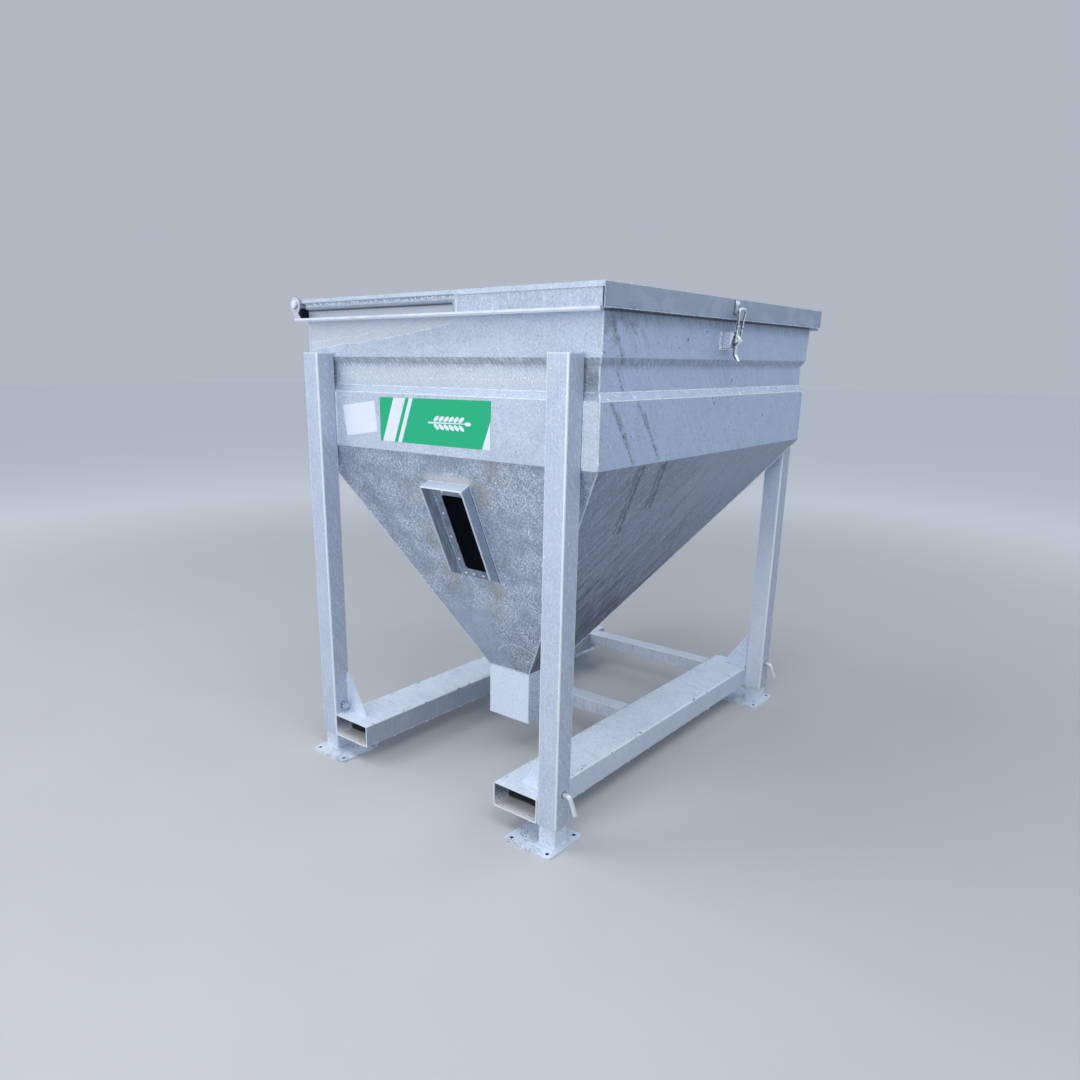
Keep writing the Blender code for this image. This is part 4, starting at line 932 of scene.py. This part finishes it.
def lay_bead(bm, start, end, radius):
    """A weld run: a ring drawn along in short steps, then swelled and pinched into ripples."""
    start, end = Vector(start), Vector(end)
    way = end - start
    steps = max(3, round(way.length / BEAD_STEP))
    turn = way.to_track_quat("Z", "Y").to_matrix().to_4x4()
    count = len(bm.verts)
    ring = bmesh.ops.create_circle(bm, cap_ends=True, radius=radius, segments=BEAD_SIDES,
                                   matrix=Matrix.Translation(start) @ turn)["verts"]
    edges = list({edge for vert in ring for edge in vert.link_edges})
    drawn = bmesh.ops.spin(bm, geom=ring + edges, cent=start, axis=way.normalized(), dvec=way / steps,
                           angle=0.0, steps=steps, use_merge=False)
    last = [part for part in drawn["geom_last"] if isinstance(part, bmesh.types.BMEdge)]
    bmesh.ops.contextual_create(bm, geom=last)
    bm.verts.ensure_lookup_table()
    for vert in bm.verts[count:]:
        along = (vert.co - start).dot(way) / way.length
        centre = start + way * (along / way.length)
        ripple = 0.80 + 0.30 * abs(math.sin(math.pi * along / BEAD_RIPPLE))
        ripple += 0.55 * noise.noise(vert.co * 170)
        taper = min(1.0, 0.35 + along / (3 * radius), 0.35 + (way.length - along) / (3 * radius))
        vert.co = centre + (vert.co - centre) * ripple * taper


def weld(name, runs):
    """One piece made of weld runs, each given by its start, end and radius."""
    beads = bmesh.new()
    for start, end, radius in runs:
        lay_bead(beads, start, end, radius)
    settle(name, beads, weld_zinc, sharp=70)


def at_corners(runs):
    """The same weld runs at all four corners. Their points are measured outwards from the bin's middle."""
    return [([MIDDLE_X + sign_x * start[0], sign_y * start[1], start[2]],
             [MIDDLE_X + sign_x * end[0], sign_y * end[1], end[2]], radius)
            for sign_x, sign_y in CORNERS for start, end, radius in runs]


weld_zinc = zinc("weld_zinc", None, (LIGHT, PALE, WHITE), crystal=0.003, sparkle=0.9,
                 cloud=0.4, flecks=0.7, roughness=0.42, metallic=0.35, relief=0.0006)

outline = [
    (0.0, HOPPER_TOP + 0.002), (0.0, LOWER_BAND_TOP), (RECESS_DEPTH, RECESS_BOTTOM),
    (RECESS_DEPTH, RECESS_TOP), (0.0, TOP_BAND_BOTTOM), (0.0, CORNER_WELD_TOP),
]
points = [(WALL_HALF_X - deep, WALL_HALF_Y - deep, z) for deep, z in outline]
runs = [(start, end, BEAD_CORNER) for start, end in zip(points, points[1:])]
weld("welds_bin_corners", at_corners(runs))

runs = []
for sign_x, sign_y in CORNERS:
    outlet_y = OUTLET_FRONT if sign_y < 0 else OUTLET_BACK
    top = (MIDDLE_X + sign_x * WALL_HALF_X, sign_y * WALL_HALF_Y, HOPPER_TOP - 0.002)
    bottom = (MIDDLE_X + sign_x * CHUTE_HALF, outlet_y, HOPPER_BOTTOM + 0.002)
    runs.append((top, bottom, BEAD_FINE))
chute_x = (MIDDLE_X - CHUTE_HALF, MIDDLE_X + CHUTE_HALF)
for y in (OUTLET_FRONT, OUTLET_BACK):
    runs.append(((chute_x[0], y, HOPPER_BOTTOM), (chute_x[1], y, HOPPER_BOTTOM), BEAD_WIDE))
for x in chute_x:
    runs.append(((x, OUTLET_FRONT, HOPPER_BOTTOM), (x, OUTLET_BACK, HOPPER_BOTTOM), BEAD_WIDE))
weld("welds_hopper", runs)

cap_z = LEG_TOP - 0.0008
inner_x, outer_x = LEG_CENTRE_X - LEG_HALF + 0.006, LEG_CENTRE_X + LEG_HALF - 0.006
near_y, far_y = WALL_HALF_Y + 0.003, LEG_CENTRE_Y + LEG_HALF - 0.006
side_y, foot_z, head_z = WALL_HALF_Y + 0.001, HOPPER_TOP + 0.004, LOWER_BAND_TOP - 0.002
runs = [((x, side_y, foot_z), (x, side_y, head_z), BEAD_CORNER)
        for x in (LEG_CENTRE_X - LEG_HALF - 0.0015, LEG_CENTRE_X + LEG_HALF + 0.0015)]
runs += [((x, near_y, cap_z), (x, far_y, cap_z), BEAD_CAP) for x in (inner_x - 0.0045, outer_x + 0.0045)]
runs.append(((inner_x, near_y, cap_z), (outer_x, near_y, cap_z), BEAD_SEAM))
weld("welds_legs", at_corners(runs))

GUSSET_Y = 0.8805
GUSSET_HALF = 0.004
GUSSET_FOOT = 0.127
GUSSET_TALL = 0.186
SEAM_END_Y = 0.954
leg_x = LEG_CENTRE_X - LEG_HALF - 0.001
under_z = MEMBER_TOP - 0.0015
seam_x, seam_y = leg_x + 0.0012, WALL_HALF_Y - 0.001
runs = []
for y in (GUSSET_Y - GUSSET_HALF - 0.0005, GUSSET_Y + GUSSET_HALF + 0.0005):
    runs.append(((leg_x, y, MEMBER_TOP + 0.014), (leg_x, y, MEMBER_TOP + GUSSET_TALL - 0.004), BEAD_FINE))
    runs.append(((leg_x - 0.014, y, MEMBER_TOP), (leg_x - GUSSET_FOOT + 0.004, y, MEMBER_TOP), BEAD_FINE))
runs.append(((leg_x, GUSSET_Y + 0.012, under_z), (leg_x, SEAM_END_Y, under_z), BEAD_FINE))
runs.append(((seam_x, seam_y, LEG_BOTTOM + 0.004), (seam_x, seam_y, MEMBER_TOP - 0.006), BEAD_SEAM))
runs = at_corners(runs)
for sign_x in (-1, 1):
    for member_y in (0.0, REAR_MEMBER_Y):
        for side in (-1, 1):
            x = MIDDLE_X + sign_x * (CHANNEL_CENTRE_X - CHANNEL_HALF_X - 0.0008)
            y = member_y + side * (MEMBER_HALF_WIDTH + 0.0005)
            runs.append(((x, y, MEMBER_TOP - 0.066), (x, y, MEMBER_TOP - 0.006), BEAD_FINE))
weld("welds_chassis", runs)

FOOT_HALF = 0.0395
runs = []
for sign_x, sign_y in CORNERS:
    ring = [(MIDDLE_X + sign_x * LEG_CENTRE_X + x * FOOT_HALF, sign_y * LEG_CENTRE_Y + y * FOOT_HALF,
             PLATE_TOP + 0.0005) for x, y in ((-1, -1), (1, -1), (1, 1), (-1, 1))]
    runs += [(start, end, BEAD_FOOT) for start, end in zip(ring, ring[1:] + ring[:1])]
weld("welds_feet", runs)

runs = [(on_slope(across, HOOD_TOP, 0.0005), on_slope(across, HOOD_BOTTOM, 0.0005), BEAD_THIN)
        for across in (-HOOD_HALF_WIDTH - 0.0005, HOOD_HALF_WIDTH + 0.0005)]
runs.append((on_slope(-HOOD_HALF_WIDTH, HOOD_TOP + 0.0005, 0.0005),
             on_slope(HOOD_HALF_WIDTH, HOOD_TOP + 0.0005, 0.0005), BEAD_HOOD))
weld("welds_hood", runs)

# Zinc drips: drops that froze on the lowest edges as the bin was lifted from the bath.
# They hang from the fork channels, the chute and the lid's fascia.
DRIP_CHANNEL_Z = 0.0865
DRIP_CHUTE_X = 0.1160
DRIP_CHUTE_Z = 0.1650
CHANNEL_DRIPS = [(-0.3764, 0.95, 17), (0.5897, 0.84, 13), (0.3764, 0.95, 15), (-0.5897, 0.84, 11)]
FASCIA_DRIPS = 46
FASCIA_DRIP_END = 0.905
DRIP_EDGES = [((x, -end, DRIP_CHANNEL_Z), (x, end, DRIP_CHANNEL_Z), count)
              for x, end, count in CHANNEL_DRIPS]
DRIP_EDGES += [
    ((-CHUTE_HALF, OUTLET_FRONT, DRIP_CHUTE_Z), (CHUTE_HALF, OUTLET_FRONT, DRIP_CHUTE_Z), 4),
    ((DRIP_CHUTE_X, OUTLET_FRONT, DRIP_CHUTE_Z), (DRIP_CHUTE_X, OUTLET_BACK - 0.004, DRIP_CHUTE_Z), 4),
]


def add_drop(bm, spot, size):
    shape = Matrix.Translation(spot) @ Matrix.Diagonal((*size, 1.0))
    bmesh.ops.create_icosphere(bm, subdivisions=2, radius=1.0, matrix=shape)


drips = bmesh.new()
for row, (start, end, count) in enumerate(DRIP_EDGES):
    start, end = Vector(start), Vector(end)
    for step in range(count):
        chance = noise.noise(Vector((row * 7.3, step * 3.1, 0.5)))
        spot = start.lerp(end, (step + 0.5 + 0.7 * chance) / count) + Vector((MIDDLE_X, 0.0, 0.0))
        size = 0.0022 + 0.0018 * abs(noise.noise(Vector((step * 5.7, row * 2.9, 1.5))))
        add_drop(drips, spot, (size, size * 1.4, size * (1.3 + 1.6 * abs(chance))))
settle("zinc_drips", drips, weld_zinc, sharp=80)

drips = bmesh.new()
for step in range(FASCIA_DRIPS):
    chance = noise.noise(Vector((step * 2.7, 4.4, 8.1)))
    y = FASCIA_DRIP_END * (2 * (step + 0.5 + 0.8 * chance) / FASCIA_DRIPS - 1)
    size = 0.0014 + 0.0022 * abs(noise.noise(Vector((step * 4.9, 2.2, 6.6))))
    add_drop(drips, (LID_FACE - 0.0022, y, FASCIA_BOTTOM + 0.0005), (0.0021, size * 2.2, size))
settle("fascia_drips", drips, weld_zinc, "lid", sharp=80)

# Labels: a printed vinyl panel and a blank white sticker on the front's lower band.
# The panel carries a plain ear of grain and slanting stripes; both have fine dirt on them.
LABEL_FACE = -WALL_HALF_Y
LABEL_THICK = 0.0006
PRINT_THICK = 0.0003
LABEL_GREEN = (0.003, 0.44, 0.205)
LABEL_WHITE = (0.78, 0.84, 0.97)
DUSTY_GREEN = (0.03, 0.38, 0.20)
DUSTY_WHITE = (0.60, 0.64, 0.70)
LABEL = [(-0.3145, 1.4510), (0.2760, 1.4525), (0.2790, 1.6280), (-0.3140, 1.6235)]
STICKER = [(-0.546, 1.583), (-0.525, 1.459), (-0.333, 1.486), (-0.348, 1.608)]
STRIPES = [
    [(-0.300, 1.4513), (-0.232, 1.4515), (-0.164, 1.6240), (-0.232, 1.6236)],
    [(-0.212, 1.4516), (-0.190, 1.4517), (-0.122, 1.6243), (-0.144, 1.6242)],
    [(0.236, 1.4524), (0.2760, 1.4525), (0.2770, 1.5550)],
]
GRAIN_START = (0.004, 1.538)
GRAIN_TIP = (0.166, 1.540)
KERNEL_PAIRS = 6
KERNEL_OFF = 0.0150
KERNEL_LONG = 0.0165
KERNEL_WIDE = 0.0075
KERNEL_STEP = 0.026
KERNEL_LEAN = 34
STALK = [(-0.040, 1.5335), (0.150, 1.5385), (0.150, 1.5415), (-0.040, 1.5400)]


def vinyl(name, colour, dirty):
    """Printed film of one colour, with fine dirt on it."""
    material, place = bare_material(name)
    darkening = place.grains(0.05, detail=5.0).fade(0.45, 0.85)
    close_material(place, {
        "Base Color": (darkening * 0.35).blend(colour, dirty), "Roughness": 0.38 + darkening * 0.25})
    return material


def thicken(bm, faces, thick):
    """Draw faces that lie on the front wall out into a thin plate."""
    grown = bmesh.ops.extrude_face_region(bm, geom=faces)
    moved = [part for part in grown["geom"] if isinstance(part, bmesh.types.BMVert)]
    bmesh.ops.translate(bm, verts=moved, vec=(0.0, -thick, 0.0))


def add_film(bm, outline, low, thick):
    """Thin plate at a height above the front wall, with the given outline of (x, z) points."""
    face = bm.faces.new([bm.verts.new((MIDDLE_X + x, LABEL_FACE - low, z)) for x, z in outline])
    thicken(bm, [face], thick)


def add_kernel(bm, x, z, turn):
    """One flat kernel of the grain ear: a circle drawn out and turned by some degrees."""
    shape = Matrix.Translation((MIDDLE_X + x, LABEL_FACE - LABEL_THICK, z))
    shape = shape @ Matrix.Rotation(math.radians(turn), 4, "Y")
    shape = shape @ Matrix.Diagonal((KERNEL_WIDE, 1.0, KERNEL_LONG, 1.0))
    shape = shape @ Matrix.Rotation(math.radians(90), 4, "X")
    disc = bmesh.ops.create_circle(bm, cap_ends=True, radius=1.0, segments=20, matrix=shape)
    thicken(bm, list({face for vert in disc["verts"] for face in vert.link_faces}), PRINT_THICK)


green_vinyl = vinyl("green_vinyl", LABEL_GREEN, DUSTY_GREEN)
white_vinyl = vinyl("white_vinyl", LABEL_WHITE, DUSTY_WHITE)
panel = bmesh.new()
add_film(panel, LABEL, 0.0, LABEL_THICK)
settle("label_panel", panel, green_vinyl)

print_white = bmesh.new()
for outline in STRIPES + [STALK]:
    add_film(print_white, outline, LABEL_THICK, PRINT_THICK)
for step in range(KERNEL_PAIRS):
    for sign in (-1, 1):
        x, z = GRAIN_START[0] + KERNEL_STEP * step, GRAIN_START[1] + sign * KERNEL_OFF
        add_kernel(print_white, x, z, 90 - sign * KERNEL_LEAN)
add_kernel(print_white, *GRAIN_TIP, 90)
settle("label_print", print_white, white_vinyl)

sticker = bmesh.new()
add_film(sticker, STICKER, 0.0, LABEL_THICK)
settle("blank_sticker", sticker, white_vinyl)

# Floor and light: a plain pale floor under a soft light at the front left and two overhead, with a cool fill
# all round. The floor grows paler with distance, so that it meets the sky without an edge.
FLOOR_SIZE = 60.0
FLOOR_NEAR = 2.0
FLOOR_FAR = 8.5
FLOOR_GREY = (0.50, 0.51, 0.52)
FLOOR_LIGHT_GREY = (0.53, 0.54, 0.55)
FLOOR_WHITE = (0.95, 0.96, 0.98)
SKY_BLUE = (0.80, 0.88, 1.0)
SKY_STRENGTH = 0.55
floor_bm = bmesh.new()
bmesh.ops.create_grid(floor_bm, x_segments=2, y_segments=2, size=FLOOR_SIZE)
floor_mesh = bpy.data.meshes.new("floor")
floor_bm.to_mesh(floor_mesh)
floor_bm.free()
floor = bpy.data.objects.new("floor", floor_mesh)
bpy.context.collection.objects.link(floor)
ground, ground_place = bare_material("pale_floor")
ground_x, ground_y = ground_place.axes()[:2]
far = (ground_x * ground_x + ground_y * ground_y).fade(FLOOR_NEAR ** 2, FLOOR_FAR ** 2)
ground_tone = ground_place.grains(0.6, detail=3.0).blend(FLOOR_GREY, FLOOR_LIGHT_GREY)
ground_tone = far.blend(ground_tone, FLOOR_WHITE)
close_material(ground_place, {"Base Color": ground_tone, "Roughness": 1.0, "Specular IOR Level": 0.0})
floor_mesh.materials.append(ground)

world = bpy.data.worlds.new("studio")
world.use_nodes = True
background = world.node_tree.nodes["Background"]
background.inputs["Color"].default_value = (*SKY_BLUE, 1.0)
background.inputs["Strength"].default_value = SKY_STRENGTH
scene = bpy.context.scene
scene.world = world
scene.view_settings.view_transform = "Standard"


def area_light(name, place, target, size, power, colour):
    lamp = bpy.data.lights.new(name, "AREA")
    lamp.shape = "DISK"
    lamp.size = size
    lamp.energy = power
    lamp.color = colour
    item = bpy.data.objects.new(name, lamp)
    item.location = place
    item.rotation_euler = (Vector(target) - Vector(place)).to_track_quat("-Z", "Y").to_euler()
    scene.collection.objects.link(item)


area_light("key", (-4.2, -5.4, 4.6), (0.0, 0.0, 1.1), 3.5, 64.0, (1.0, 0.99, 0.97))
area_light("front_fill", (1.2, -6.2, 2.3), (0.0, 0.0, 0.8), 3.0, 78.0, (1.0, 0.99, 0.98))
area_light("overhead_left", (-2.6, -2.2, 6.0), (-0.4, 0.0, 0.2), 4.0, 120.0, (1.0, 1.0, 1.0))
area_light("overhead_right", (2.6, -2.2, 6.0), (0.4, 0.0, 0.2), 4.0, 120.0, (1.0, 1.0, 1.0))
area_light("back_fill", (3.5, 5.0, 5.0), (0.0, 0.0, 1.0), 4.0, 60.0, (0.92, 0.96, 1.0))

# Camera: standing at the front right corner, a little below the lid, as the photograph was taken.
CAMERA_PLACE = (2.23665, -3.1338, 1.7596)
CAMERA_YAW = -0.6951
CAMERA_PITCH = -0.2815
CAMERA_ROLL = 0.0087
lens = bpy.data.cameras.new("view")
lens.sensor_width = 36.0
lens.lens = 27.22
lens.shift_x = 0.0313
lens.shift_y = 0.0545
lens.clip_end = 300.0
camera = bpy.data.objects.new("view", lens)
forward = Vector((math.sin(CAMERA_YAW) * math.cos(CAMERA_PITCH),
                  math.cos(CAMERA_YAW) * math.cos(CAMERA_PITCH),
                  math.sin(CAMERA_PITCH)))
level = Vector((math.cos(CAMERA_YAW), -math.sin(CAMERA_YAW), 0.0))
upward = level.cross(forward)
right = math.cos(CAMERA_ROLL) * level + math.sin(CAMERA_ROLL) * upward
upward = math.cos(CAMERA_ROLL) * upward - math.sin(CAMERA_ROLL) * level
turn = Matrix((right, upward, -forward)).transposed()
camera.matrix_world = Matrix.Translation(CAMERA_PLACE) @ turn.to_4x4()
scene.collection.objects.link(camera)
scene.camera = camera
